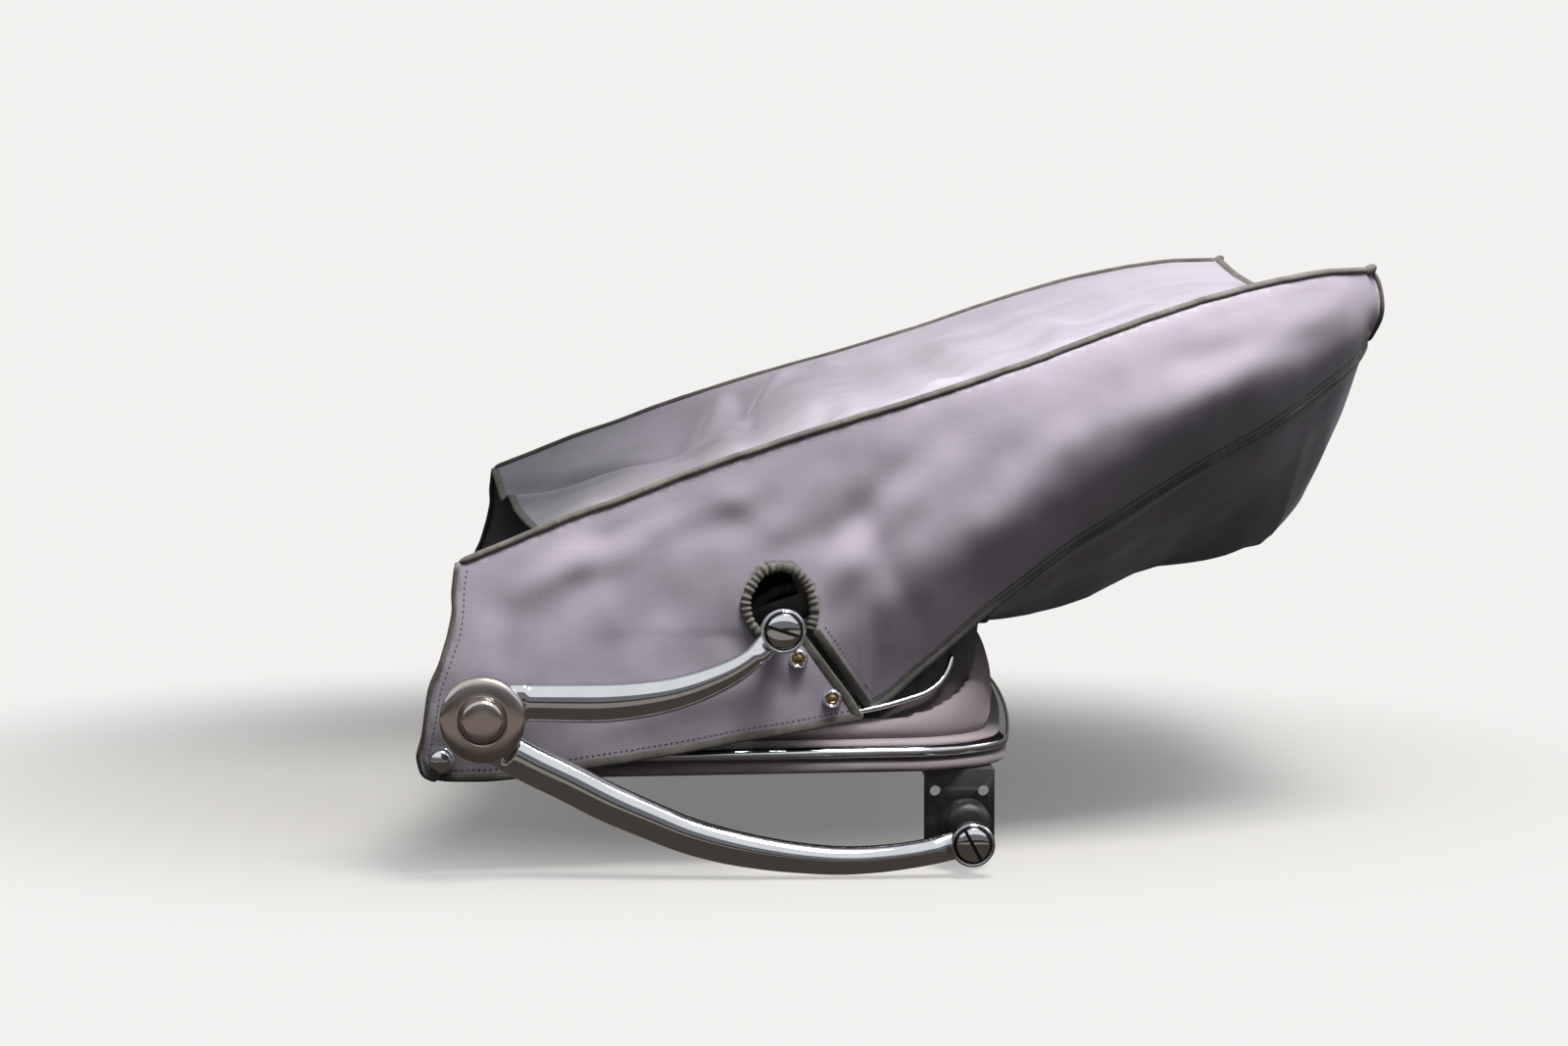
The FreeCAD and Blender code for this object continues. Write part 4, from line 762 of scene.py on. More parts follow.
def hoop_path(front, side, taper, back, bend, corner, inset, step=6.0, front_at=None):
    """A U-shaped line in plan, in millimetres, from the left leg's front round the back to the right leg's front.

    The legs are straight and close in by the taper, the corners are arcs, and the back is a long arc.
    """
    lean = math.radians(taper)
    along, inward = np.array([math.cos(lean), math.sin(lean)]), np.array([-math.sin(lean), math.cos(lean)])
    start, middle = np.array([front, -side]), np.array([back - bend, 0.0])
    base = start + inward * corner - middle
    reach, half = bend - corner, base @ along
    centre = start + inward * corner + along * (-half + math.sqrt(half * half - base @ base + reach * reach))
    radius = corner - inset
    leg_end = centre - inward * radius
    x_start = front if front_at is None else front_at
    leg_start = leg_end - along * ((leg_end[0] - x_start) / along[0])
    out = (centre - middle) / np.linalg.norm(centre - middle)
    turn_from, turn_to = math.atan2(-inward[1], -inward[0]), math.atan2(out[1], out[0])
    count = max(int(np.linalg.norm(leg_end - leg_start) / step), 2)
    leg = leg_start + (leg_end - leg_start) * np.linspace(0, 1, count)[:-1, None]
    a = np.linspace(turn_from, turn_to, max(int(radius * abs(turn_to - turn_from) / step), 8))[:-1]
    turn = centre + radius * np.column_stack([np.cos(a), np.sin(a)])
    a = np.linspace(turn_to, 0, max(int((bend - inset) * abs(turn_to) / step), 8))
    arc = middle + (bend - inset) * np.column_stack([np.cos(a), np.sin(a)])
    near = np.vstack([leg, turn, arc])
    return np.vstack([near, (near * [1, -1])[::-1][1:]])


def rail_path(inset, height, front_at=None):
    """The rail's line at an inset and a height, as points in millimetres."""
    plan = hoop_path(
        front=-225, side=RAIL_SIDE, taper=5.0, back=252, bend=3820, corner=90, inset=inset, front_at=front_at,
    )
    return np.column_stack([plan, np.full(len(plan), float(height))])


def stack_place(plan, height):
    """Points of a plan in the slanted plane of the stack of bows, lifted square to it, as places in millimetres."""
    tilt = math.radians(STACK_TILT)
    c, s = math.cos(tilt), math.sin(tilt)
    x = plan[:, 0] * c - height * s + STACK_PLACE[0]
    return np.column_stack([x, plan[:, 1], plan[:, 0] * s + height * c + STACK_PLACE[1]])


def stack_plane(x):
    """The height of the stack's slanted plane at places along X."""
    return STACK_PLACE[1] + STACK_SLOPE * (x - STACK_PLACE[0])


# Sizes and colours that a user would change

def length(name, default, text):
    """A length in millimetres as a property."""
    return FloatProperty(name=name, description=text, default=default * MM, min=0.0, unit="LENGTH", precision=4)


def paint(name, default, text):
    """A written colour as a property."""
    return FloatVectorProperty(
        name=name, description=text, default=linear(default), size=3, min=0.0, max=1.0, subtype="COLOR",
    )


class HoodSizes(bpy.types.PropertyGroup):
    """Sizes of the cloth work and the bright work."""

    cloth: length("Cloth", 1.6, "Thickness of the cover's cloth")
    net: length("Net", 4.0, "Mesh spacing of the cover's sides")
    piping: length("Piping", 8.5, "Width of the piping on the cover's upper seams")
    low_piping: length("Lower Piping", 6.0, "Width of the piping on the cover's lower seams")
    tape: length("Front Tape", 10.0, "Width of the tape that binds the cover's front edge")
    slit_tape: length("Slit Tape", 8.0, "Width of the tape on the two edges of the slit")
    gathers: length("Gathered Tape", 8.0, "Width of the gathered tape round the hole for the iron")
    eye: length("Eye Rim", 2.6, "Width of the raised rim of each eye")
    groove: length("Cap Groove", 1.6, "Width of the groove round the cap of the middle joint")


class HoodColours(bpy.types.PropertyGroup):
    """Colours of the cloths, metals and wood."""

    cover: paint("Cover", "#a59da8", "Cotton duck of the cover")
    tape: paint("Tape", "#625f59", "Tape and piping of the cover")
    thread: paint("Thread", "#3b3733", "Stitching thread")
    hood: paint("Hood", "#94898b", "Duck of the hood's lower edge")
    # The back of the hood's duck, darkened further as painted shade on the gathered cloth under the cover.
    inner: paint("Inner", "#4f4847", "Back of the hood's duck")
    lining: paint("Lining", "#2c2929", "Folded cloth inside the cover")
    chromium: paint("Chromium", "#dde2e8", "Polished chromium plate")
    turned: paint("Turned Chromium", "#c9c3c0", "Turned face of the middle joint")
    zinc: paint("Zinc", "#a9aaa8", "Zinc-plated steel")
    enamel: paint("Enamel", "#171717", "Black enamel of the frame")
    ash: paint("Ash", "#b98a57", "Varnished ash")
    rubber: paint("Rubber", "#151414", "Moulded rubber")
    stud: paint("Stud", "#b79a72", "Brass eye of each press stud")


# The cover

def tapered(count, ends):
    """Scales along a path that round both of its ends off over a number of points."""
    at = np.arange(count)
    near = np.minimum(at, count - 1 - at) / ends
    return np.sqrt(np.clip(1 - (1 - np.clip(near, 0, 1)) ** 2, 0.03, 1))


def tube(name, path, outline, sign=1.0, up=UP, ends=3, swell=1.0):
    """A section swept along a path given in millimetres, mirrored by a sign, with its own map in metres.

    Its ends are rounded off over some points, or cut square if that is 0.
    """
    points = swept(path, outline, up, swell * tapered(len(path), ends) if ends else swell)
    run = walked(path)
    around = np.linspace(0, np.abs(np.asarray(outline)).max() * 6, points.shape[1])
    uv = np.stack(np.broadcast_arrays(run[:, None], around[None, :]), axis=-1)
    uv = np.vstack([uv.reshape(-1, 2), [[run[0], 0], [run[-1], 0]]])
    return from_grid(name, placed(points, sign), uv=uv * MM)


def oval(width, height, count=18, power=2.0):
    """An oval section, boxier at a higher power."""
    a = circle(count)
    c, s = np.cos(a), np.sin(a)
    return np.column_stack([
        np.sign(c) * np.abs(c) ** (2 / power) * width / 2, np.sign(s) * np.abs(s) ** (2 / power) * height / 2,
    ])


class HOOD_OT_cover_sides(bpy.types.Operator):
    """Makes the two sides of the cover: flat-cut cloth with a hole for the iron and a slit below it"""

    bl_idname = "hood.cover_sides"
    bl_label = "Cover Sides"

    def execute(self, context):
        sizes = context.scene.hood_sizes
        flat, faces = trimmed_sheet(side_outline(), sizes.net / MM)
        points = np.column_stack([flat[:, 0], -side_distance(flat[:, 0], flat[:, 1]), flat[:, 1]])
        corners = flat[faces]
        area = 0.0
        for k in range(1, 3):
            a, b = corners[:, k] - corners[:, 0], corners[:, k + 1] - corners[:, 0]
            area += np.abs(a[:, 0] * b[:, 1] - a[:, 1] * b[:, 0]).sum() / 2
        area = area * MM * MM * 1.06  # with the cloth that its folds take up
        for side, sign in SIDES:
            turned_faces = faces if sign > 0 else faces[:, ::-1]
            piece = new_mesh(f"cover_cloth_side_{side}", placed(points, sign), turned_faces, flat * MM)
            walled(piece, sizes.cloth, -1.0)
            dress(piece, "cover_duck", "stack", f"cover_side_{side}")
        return {"FINISHED"}


class HOOD_OT_cover_top(bpy.types.Operator):
    """Makes the cover's top, slung between its two upper seams and scooped in front"""

    bl_idname = "hood.cover_top"
    bl_label = "Cover Top"

    def execute(self, context):
        sizes = context.scene.hood_sizes
        run, share = np.meshgrid(np.linspace(0, 1, 170), np.linspace(-1, 1, 240), indexing="ij")
        points = top_surface(run, share)
        piece = new_mesh("cover_cloth_top", points * MM, grid_faces(*run.shape), points[..., :2] * MM)
        walled(piece, sizes.cloth, -1.0)
        dress(piece, "cover_duck", "stack", "cover_top")
        return {"FINISHED"}


class HOOD_OT_cover_bottom(bpy.types.Operator):
    """Makes the cover's underside and tail as one sheet that hangs between the lower seams"""

    bl_idname = "hood.cover_bottom"
    bl_label = "Cover Underside"

    def execute(self, context):
        sizes = context.scene.hood_sizes
        across = 190
        along, share = np.meshgrid(np.linspace(0, 1, 130), np.linspace(-1, 1, across), indexing="ij")
        points = bottom_surface(along, share)
        run = walked(points[:, across // 2])
        uv = np.stack(np.broadcast_arrays(run[:, None], points[..., 1]), axis=-1)
        piece = new_mesh("cover_cloth_underside", points * MM, grid_faces(*along.shape)[:, ::-1], uv * MM)
        walled(piece, sizes.cloth, -1.0)
        dress(piece, "cover_duck", "stack", "cover_bottom", "cover_tail")
        return {"FINISHED"}


class HOOD_OT_cover_trim(bpy.types.Operator):
    """Makes the cover's piping, bound edges, hems, stitches and the knots at its rear corners"""

    bl_idname = "hood.cover_trim"
    bl_label = "Cover Trim"

    def strips(self, rows, side, sign):
        """Strips sewn along lines of a side.

        Each row has a name, a line, its shift along X and up, its number of points, its distance off the cloth and a
        section.
        """
        return [
            tube(f"cover_{name}_{side}", on_side(shifted(line, *shift), count, out), section, sign, ACROSS)
            for name, line, shift, count, out, section in rows
        ]

    def seams(self, sizes, side, sign):
        """The piping of the upper, lower and tail seams of one side, and the knot where they meet."""
        width, low_width = sizes.piping / MM, sizes.low_piping / MM
        flat = smooth_line(SEAM_TOP, 260)
        path = np.column_stack([flat[:, 0], -seam_away(flat[:, 0]), flat[:, 1]])
        wobble = 0.35 * noise(31, path[:, 0] / 9)
        path += np.column_stack([np.zeros_like(wobble), wobble, 0.5 * wobble])
        low = on_side(SEAM_LOW, 200, 2.0)
        low[:, 2] -= 0.8
        away = line_at(HALF_WIDTH, TOP_REAR)
        knot = [(538, 3 - away, 405), (544, 1 - away, 408), (548, 1 - away, 411), (550, 3 - away, 413)]
        return [
            tube(f"cover_piping_top_{side}", path, oval(width, width * 0.72), sign),
            tube(f"cover_piping_low_{side}", low, oval(low_width, low_width), sign),
            *self.strips([
                ("hem_low", SEAM_LOW, (-3.0, 6.5), 200, 0.3, oval(5.5, 1.8, 14, 3.0)),
                ("piping_tail", TAIL_EDGE, (0.0, 0.0), 40, 0.0, oval(width * 0.8, width * 0.8)),
            ], side, sign),
            tube(f"cover_seam_knot_{side}", smooth_line(knot, 14), oval(10, 9), sign, ends=6),
        ]

    def edges(self, sizes, side, sign):
        """The bound front edge, the hem of the flap, the taped slit and the gathered tape round the hole."""
        front = on_side(FRONT_EDGE, 110, 0.6)
        front[:, 0] += 1.2 * noise(41, front[:, 2] / 14)
        tape = sizes.slit_tape / MM
        facing = [(50, 127), (65, 112), (81, 90), (97, 67), (104, 56)]
        strap = [(2, -566, 126), (10, -566, 133), (20, -566, 142), (31, -565, 149), (43, -563, 153), (62, -560, 154)]
        hole = on_side(IRON_HOLE, 260, 1.5)
        run = np.linspace(0, 1, len(hole))
        gathers = 34
        swell = 1 + 0.14 * np.sin(run * 2 * math.pi * gathers + 2.2 * noise(44, run * 20)) + 0.12 * noise(43, run * 60)
        return [
            tube(f"cover_tape_front_{side}", front, oval(4.6, sizes.tape / MM, 16, 3.0), sign, ACROSS),
            *self.strips([
                ("hem_flap", FLAP_LOW, (0.0, 3.5), 170, 0.6, oval(8.5, 3.6, 16, 3.0)),
                ("tape_slit_rear", SLIT_EDGE, (2.5, 2.0), 50, 3.4, oval(tape, 3.6, 16, 3.0)),
                ("tape_slit_front", FLAP_REAR, (-2.0, -1.0), 50, 0.8, oval(tape, 3.2, 16, 3.0)),
                ("slit_facing", facing, (0.0, 0.0), 60, -4.5, oval(24.0, 1.6, 16, 3.0)),
            ], side, sign),
            tube(f"hood_strap_{side}", smooth_line(strap, 40), oval(5.0, 8.0, 16, 2.6), sign),
            tube(f"cover_tape_hole_{side}", hole, oval(sizes.gathers / MM, 7.0, 16, 2.4), sign, ACROSS, swell=swell),
        ]

    def across(self, sizes):
        """The bound front edge of the top and of the mouth and the piping along the tail, from side to side."""
        share = np.linspace(-1, 1, 360)
        front, rear = np.zeros_like(share), np.ones_like(share)
        return [
            tube("cover_tape_top", top_surface(front, share), oval(sizes.tape / MM, 4.4, 16, 3.0)),
            tube("cover_piping_tail_top", top_surface(rear, share), oval(7.5, 6.5)),
            tube("cover_tape_mouth", bottom_surface(front, share), oval(10.0, 4.0, 16, 3.0)),
        ]

    def stitches(self, name, line, out, sign, spacing=4.6, long=3.2):
        """A row of short raised stitches along a line on the cover's side, as one mesh."""
        path = on_side(line, 400, out)
        run = walked(path)
        section = ring(0.55, 6)
        taper = np.array([0.4, 1, 1, 1, 0.4])
        at = np.linspace(0, 1, len(taper))
        one = grid_faces(len(taper), len(section), False, True)
        points, faces = [], []
        for number, start in enumerate(np.arange(spacing, run[-1] - spacing, spacing)):
            here = np.column_stack([np.interp(start + at * long, run, path[:, k]) for k in range(3)])
            here[:, 1] -= 0.5 * np.sin(at * math.pi)
            points.append(swept(here, section, ACROSS, taper).reshape(-1, 3))
            faces.append(one + number * len(taper) * len(section))
        piece = new_mesh(name, placed(np.vstack(points), sign), np.vstack(faces))
        face_out(piece)
        return piece

    def execute(self, context):
        sizes = context.scene.hood_sizes
        for side, sign in SIDES:
            for piece in self.seams(sizes, side, sign) + self.edges(sizes, side, sign):
                dress(piece, "tape", "stack")
            for name, line, shift, out in (
                ("flap", FLAP_LOW, (0, 9.5), 1.0), ("front", FRONT_EDGE, (8, 0), 1.0),
                ("slit", SLIT_EDGE, (9, 6), 1.0), ("top", SEAM_TOP, (0, -8.5), 0.6), ("low", SEAM_LOW, (0, 7.5), 0.6),
            ):
                piece = self.stitches(f"cover_stitches_{name}_{side}", shifted(line, *shift), out, sign)
                dress(piece, "stitch_thread", "stack")
        for piece in self.across(sizes):
            dress(piece, "tape", "stack")
        return {"FINISHED"}


class HOOD_OT_fasteners(bpy.types.Operator):
    """Makes the press studs beside the slit and the domed fastener at each lower front corner"""

    bl_idname = "hood.fasteners"
    bl_label = "Fasteners"

    def execute(self, context):
        stud = [(8.0, -2), (8.0, 0.8), (7.6, 2.0), (6.8, 2.9), (6.0, 3.1), (5.3, 2.7), (4.9, 1.6), (4.5, 1.0)]
        eye = [(4.9, 0.2), (4.7, 1.1), (3.4, 1.3), (2.6, 1.9), (1.6, 2.3), (0.02, 2.5)]
        dome = [
            (11.0, -2), (11.0, 0.6), (10.4, 1.6), (9.6, 2.0), (9.4, 3.6), (8.6, 5.6), (7.2, 7.2), (5.2, 8.4),
            (2.8, 9.2), (0.02, 9.5),
        ]
        spots = [(49, 98, "press_stud_1"), (77, 64, "press_stud_2")]
        corner = (-239.0, 21.0)
        for side, sign in SIDES:
            for x, z, name in spots:
                around = ring(8.0, 24) + [x, z]
                away = float(side_distance(around[:, 0], around[:, 1]).max())
                piece = lathe(f"{name}_ring_{side}", [(r, away + d) for r, d in stud], (x, z), sign, 64)
                dress(piece, "chromium", "stack", f"{name}_{side}")
                piece = lathe(f"{name}_eye_{side}", [(r, away + d) for r, d in eye], (x, z), sign, 48)
                dress(piece, "stud_eye", "stack")
            away = float(side_distance(*map(np.array, corner))) + 1.2
            piece = lathe(f"corner_fastener_dome_{side}", [(r, away + d) for r, d in dome], corner, sign, 72)
            dress(piece, "chromium", "stack", f"corner_fastener_{side}")
        return {"FINISHED"}


# The pram irons

# Distances from the centreline: the irons' flat back, and the seat and the top of the screws' heads in their eyes
ARM_BACK, HEAD_SEAT, HEAD_TOP = 650.0, 663.4, 670.4
SLOT_DEPTH = 3.2

# Each arm's centre line between its two joints: share of the way, rise above the chord as a share of its length, width
UPPER_ARM = [
    (0.0, 0.030, 29), (0.067, 0.027, 29), (0.156, 0.002, 30), (0.276, -0.035, 31), (0.396, -0.069, 31),
    (0.520, -0.092, 29), (0.648, -0.101, 26), (0.781, -0.089, 22), (0.877, -0.063, 18.5), (0.95, -0.024, 18),
    (1.0, 0.0, 18),
]
LOWER_ARM = [
    (0.0, -0.020, 30), (0.035, -0.045, 31), (0.110, -0.066, 31), (0.194, -0.083, 31), (0.279, -0.102, 31),
    (0.362, -0.115, 30), (0.445, -0.126, 29), (0.525, -0.128, 28), (0.606, -0.123, 26), (0.683, -0.113, 24),
    (0.759, -0.098, 22.5), (0.833, -0.075, 21.5), (0.904, -0.046, 21), (0.965, -0.015, 22), (1.0, 0.0, 22),
]


def half_round(width, back, crown):
    """The iron's section: flat at the back, with a low side and a full round crown outside."""
    a = np.linspace(math.pi, 0, 25)
    side = back + 0.34 * (crown - back)
    foot = width / 2 - 0.7
    u = np.concatenate([np.cos(a) * width / 2, [foot, -foot]])
    v = np.concatenate([side + (crown - side) * np.sin(a) ** 0.85, [back, back]])
    v[0] = v[len(a) - 1] = back + 0.12 * (crown - back)
    return np.column_stack([u, v])


def iron_bar(start, end, stations, lapped_behind):
    """One arm as a grid: a half-round section along its curved line.

    Near the middle joint one half of its depth is cut away for the other arm, and before the eye its crown dips to a
    neck.
    """
    depth, lap, play = 16.0, 8.2, 0.3
    lap_reach, neck_reach, neck_run, neck_dip = 37.5, 30, 16, 5.5
    dx, dz = end[0] - start[0], end[1] - start[1]
    rows = np.array([(start[0] + dx * s - dz * r, start[1] + dz * s + dx * r, w) for s, r, w in stations])
    line = smooth_line(rows, 150)
    path = np.column_stack([line[:, 0], np.full(len(line), -ARM_BACK), line[:, 1]])
    from_knuckle = np.hypot(line[:, 0] - start[0], line[:, 1] - start[1])
    to_eye = np.hypot(line[:, 0] - end[0], line[:, 1] - end[1])
    near = np.clip((lap_reach - from_knuckle) / 2.0, 0, 1)
    neck = np.clip((neck_reach - to_eye) / neck_run, 0, 1)
    neck = neck * neck * (3 - 2 * neck)
    back = np.where(lapped_behind, lap * near, 0.0)
    crown = np.where(lapped_behind, depth - play * near, depth - lap * near) - neck_dip * neck
    sections = np.stack([half_round(w, b, c) for w, b, c in zip(line[:, 2], back, crown)])
    return swept(path, sections, (0.0, -1.0, 0.0))


def eye_profile(bore, rim):
    """An eye with a raised rim round the recess of the screw's head, as radius and side distance."""
    return [
        (bore, 650.0), (16.6, 650.0), (17.6, 650.6), (18.0, 652.0), (18.0, 663.0), (17.7, 665.0), (17.0, 666.2),
        (18.0 - rim * 0.55, 666.7), (18.0 - rim, 666.3), (17.7 - rim, 665.2), (17.6 - rim, 663.2), (bore, 663.0),
    ]


class HOOD_OT_pram_irons(bpy.types.Operator):
    """Makes the two pram irons: upper and lower arm, turned cover plate and cap of the middle joint"""

    bl_idname = "hood.pram_irons"
    bl_label = "Pram Irons"

    def execute(self, context):
        sizes = context.scene.hood_sizes
        rim, groove = sizes.eye / MM, sizes.groove / MM
        plate = [
            (0.02, 666.3), (31.0, 666.3), (33.2, 667.0), (34.0, 668.6), (34.0, 676.6), (33.5, 678.6), (32.2, 680.0),
            (30.6, 680.7), (26.0, 681.4), (21.5, 681.9), (17.6 + groove, 682.0), (17.3 + groove, 681.6),
            (17.1 + groove, 680.6), (17.0, 680.5), (0.02, 680.5),
        ]
        cap = [
            (0.02, 680.0), (16.9, 680.0), (17.0, 682.0), (16.8, 686.6), (16.3, 688.4), (15.4, 689.5), (14.0, 690.0),
            (7.0, 690.0), (0.02, 690.0),
        ]
        # Each arm's name, eye and stations, whether it laps behind, its bore and the two faces of its disc
        arms = [
            ("upper", UPPER_EYE, UPPER_ARM, True, 7.2, (658.3, 666.0)),
            ("lower", LOWER_EYE, LOWER_ARM, False, 5.1, (650.0, 657.7)),
        ]
        for side, sign in SIDES:
            for which, eye, stations, lapped, bore, (low, high) in arms:
                body = f"{which}_iron_{side}"
                bar = iron_bar(KNUCKLE, eye, stations, lapped)
                piece = from_grid(f"{which}_arm_bar_{side}", placed(bar, sign))
                dress(piece, "chromium", body, f"{which}_arm_{side}")
                piece = lathe(f"{which}_arm_eye_{side}", eye_profile(bore, rim), eye, sign, closed=True)
                dress(piece, "chromium", body)
                disc = [
                    (0.02, low), (31.7, low), (32.5, low + 0.8), (32.5, high - 0.8), (31.7, high), (0.02, high),
                ]
                piece = lathe(f"{which}_arm_disc_{side}", disc, KNUCKLE, sign)
                dress(piece, "chromium", body)
            body = f"lower_iron_{side}"
            piece = lathe(f"knuckle_face_{side}", plate, KNUCKLE, sign, 128)
            dress(piece, "turned_chromium", body, f"knuckle_plate_{side}")
            piece = lathe(f"knuckle_dome_{side}", cap, KNUCKLE, sign)
            dress(piece, "turned_chromium", body, f"knuckle_cap_{side}")
        return {"FINISHED"}


def slotted_head(centre, seat, top, radius, slot, turn):
    """A domed screw head as a net of rows across its slot: height = top - 2.4 r^2 - 1.1 r^8, with r from 0 to 1.

    Rows within the slot lie at its floor, and the rim is carried back to the seat. Returns points and faces.
    """
    wall = 0.05
    across = -radius * np.cos(np.linspace(0, 0.5 * math.pi, 15))[:-1]
    across = across[np.abs(across) > slot * 0.62]
    across = np.concatenate([across, [-slot / 2 - wall, -slot / 2 + wall, 0.0]])
    across = np.unique(np.concatenate([across, -across]))
    along = np.sin(np.linspace(-0.5 * math.pi, 0.5 * math.pi, 33))
    t, s = np.meshgrid(across, along, indexing="ij")
    reach = np.sqrt(np.maximum(radius**2 - t**2, 0.0004))
    u = s * reach
    r = np.hypot(u, t) / radius
    height = top - 2.4 * r**2 - 1.1 * r**8
    height = np.where(np.abs(t) < slot / 2, top - SLOT_DEPTH, height)
    rows, columns = t.shape
    skirt = np.concatenate([
        np.arange(rows) * columns, (rows - 1) * columns + np.arange(1, columns),
        np.arange(rows - 2, -1, -1) * columns + columns - 1, np.arange(columns - 2, 0, -1),
    ])
    flat = np.column_stack([u.ravel(), t.ravel(), height.ravel()])
    low = flat[skirt].copy()
    low[:, 2] = seat
    count, first = len(skirt), len(flat)
    k = np.arange(count)
    after = (k + 1) % count
    faces = list(grid_faces(rows, columns))
    faces += list(np.column_stack([skirt[k], skirt[after], first + after, first + k]))
    faces += list(np.column_stack([first + k, first + after, np.full(count, first + count)]))
    flat = np.vstack([flat, low, [0.0, 0.0, seat]])
    c, s = math.cos(math.radians(turn)), math.sin(math.radians(turn))
    x = centre[0] + flat[:, 0] * c - flat[:, 1] * s
    z = centre[1] + flat[:, 0] * s + flat[:, 1] * c
    return np.column_stack([x, -flat[:, 2], z]), faces


class HOOD_OT_pivot_screws(bpy.types.Operator):
    """Makes the slotted screws in the irons' eyes and the rubber pads behind the lower eyes"""

    bl_idname = "hood.pivot_screws"
    bl_label = "Pivot Screws"

    def execute(self, context):
        pad = [
            (0.02, 600.0), (19.0, 600.0), (20.0, 601.0), (20.0, 612.0), (19.6, 619.0), (18.2, 624.0), (15.6, 627.0),
            (12.0, 628.0), (0.02, 628.0),
        ]
        pad_centre = (185.0, -36.0)
        shank = [(0.02, 615.2), (4.9, 615.2), (5.0, 616.0), (5.0, 663.6), (0.02, 663.6)]
        screws = (("upper", UPPER_EYE, -18, "stack"), ("lower", LOWER_EYE, -62, "base"))
        for side, sign in SIDES:
            for which, eye, turn, body in screws:
                points, faces = slotted_head(eye, HEAD_SEAT, HEAD_TOP, radius=14.0, slot=2.6, turn=turn)
                piece = new_mesh(f"{which}_screw_head_{side}", placed(points, sign), faces)
                face_out(piece)
                edge = piece.modifiers.new("edges", "EDGE_SPLIT")
                edge.split_angle = math.radians(38)
                dress(piece, "chromium", body, f"{which}_screw_{side}")
                # A second material paints shade in the slot and on the rim's edge.
                piece.data.materials.append(finish_for("slot_tarnish"))
                self.tarnish(piece.data)
                piece = lathe(f"{which}_screw_shank_{side}", shank, eye, sign, 40)
                dress(piece, "zinc_steel", body)
            piece = lathe(f"rubber_pad_{side}", pad, pad_centre, sign)
            dress(piece, "moulded_rubber", "base", f"iron_pad_{side}")
        return {"FINISHED"}

    def tarnish(self, mesh):
        """Gives the second material, painted shade, to the slot and to the edge of the rim, which lies as deep."""
        depth = np.abs(places_of(mesh)[:, 1]) / MM
        corner = np.empty(len(mesh.loops), np.int32)
        mesh.loops.foreach_get("vertex_index", corner)
        first = np.empty(len(mesh.polygons), np.int32)
        mesh.polygons.foreach_get("loop_start", first)
        lowest = np.stack([depth[corner[first + k]] for k in range(3)]).min(0)
        cut = (lowest < HEAD_TOP - SLOT_DEPTH + 0.4) & (lowest > HEAD_SEAT + 0.6)
        mesh.polygons.foreach_set("material_index", cut.astype(np.int32))


# The belt rail's trim and the hood's cloth

class HOOD_OT_belt_trim(bpy.types.Operator):
    """Makes the bright half-round moulding and the cloth welt below it"""

    bl_idname = "hood.belt_trim"
    bl_label = "Belt Trim"

    def execute(self, context):
        a = np.linspace(-0.5 * math.pi, 0.5 * math.pi, 19)
        half = np.column_stack([10.0 * np.cos(a), 6.0 * np.sin(a)])
        piece = tube("moulding_half_round", rail_path(0.0, 17.0), half, ends=2)
        dress(piece, "chromium", "base", "belt_moulding")
        path = rail_path(-3.6, 5.2)
        path[:, 2] += 0.25 * noise(51, path[:, 0] / 14, path[:, 1] / 14)
        piece = tube("welt_piping", path, oval(8.4, 8.6, 20, 2.6))
        dress(piece, "hood_duck", "base", "border_welt")
        return {"FINISHED"}


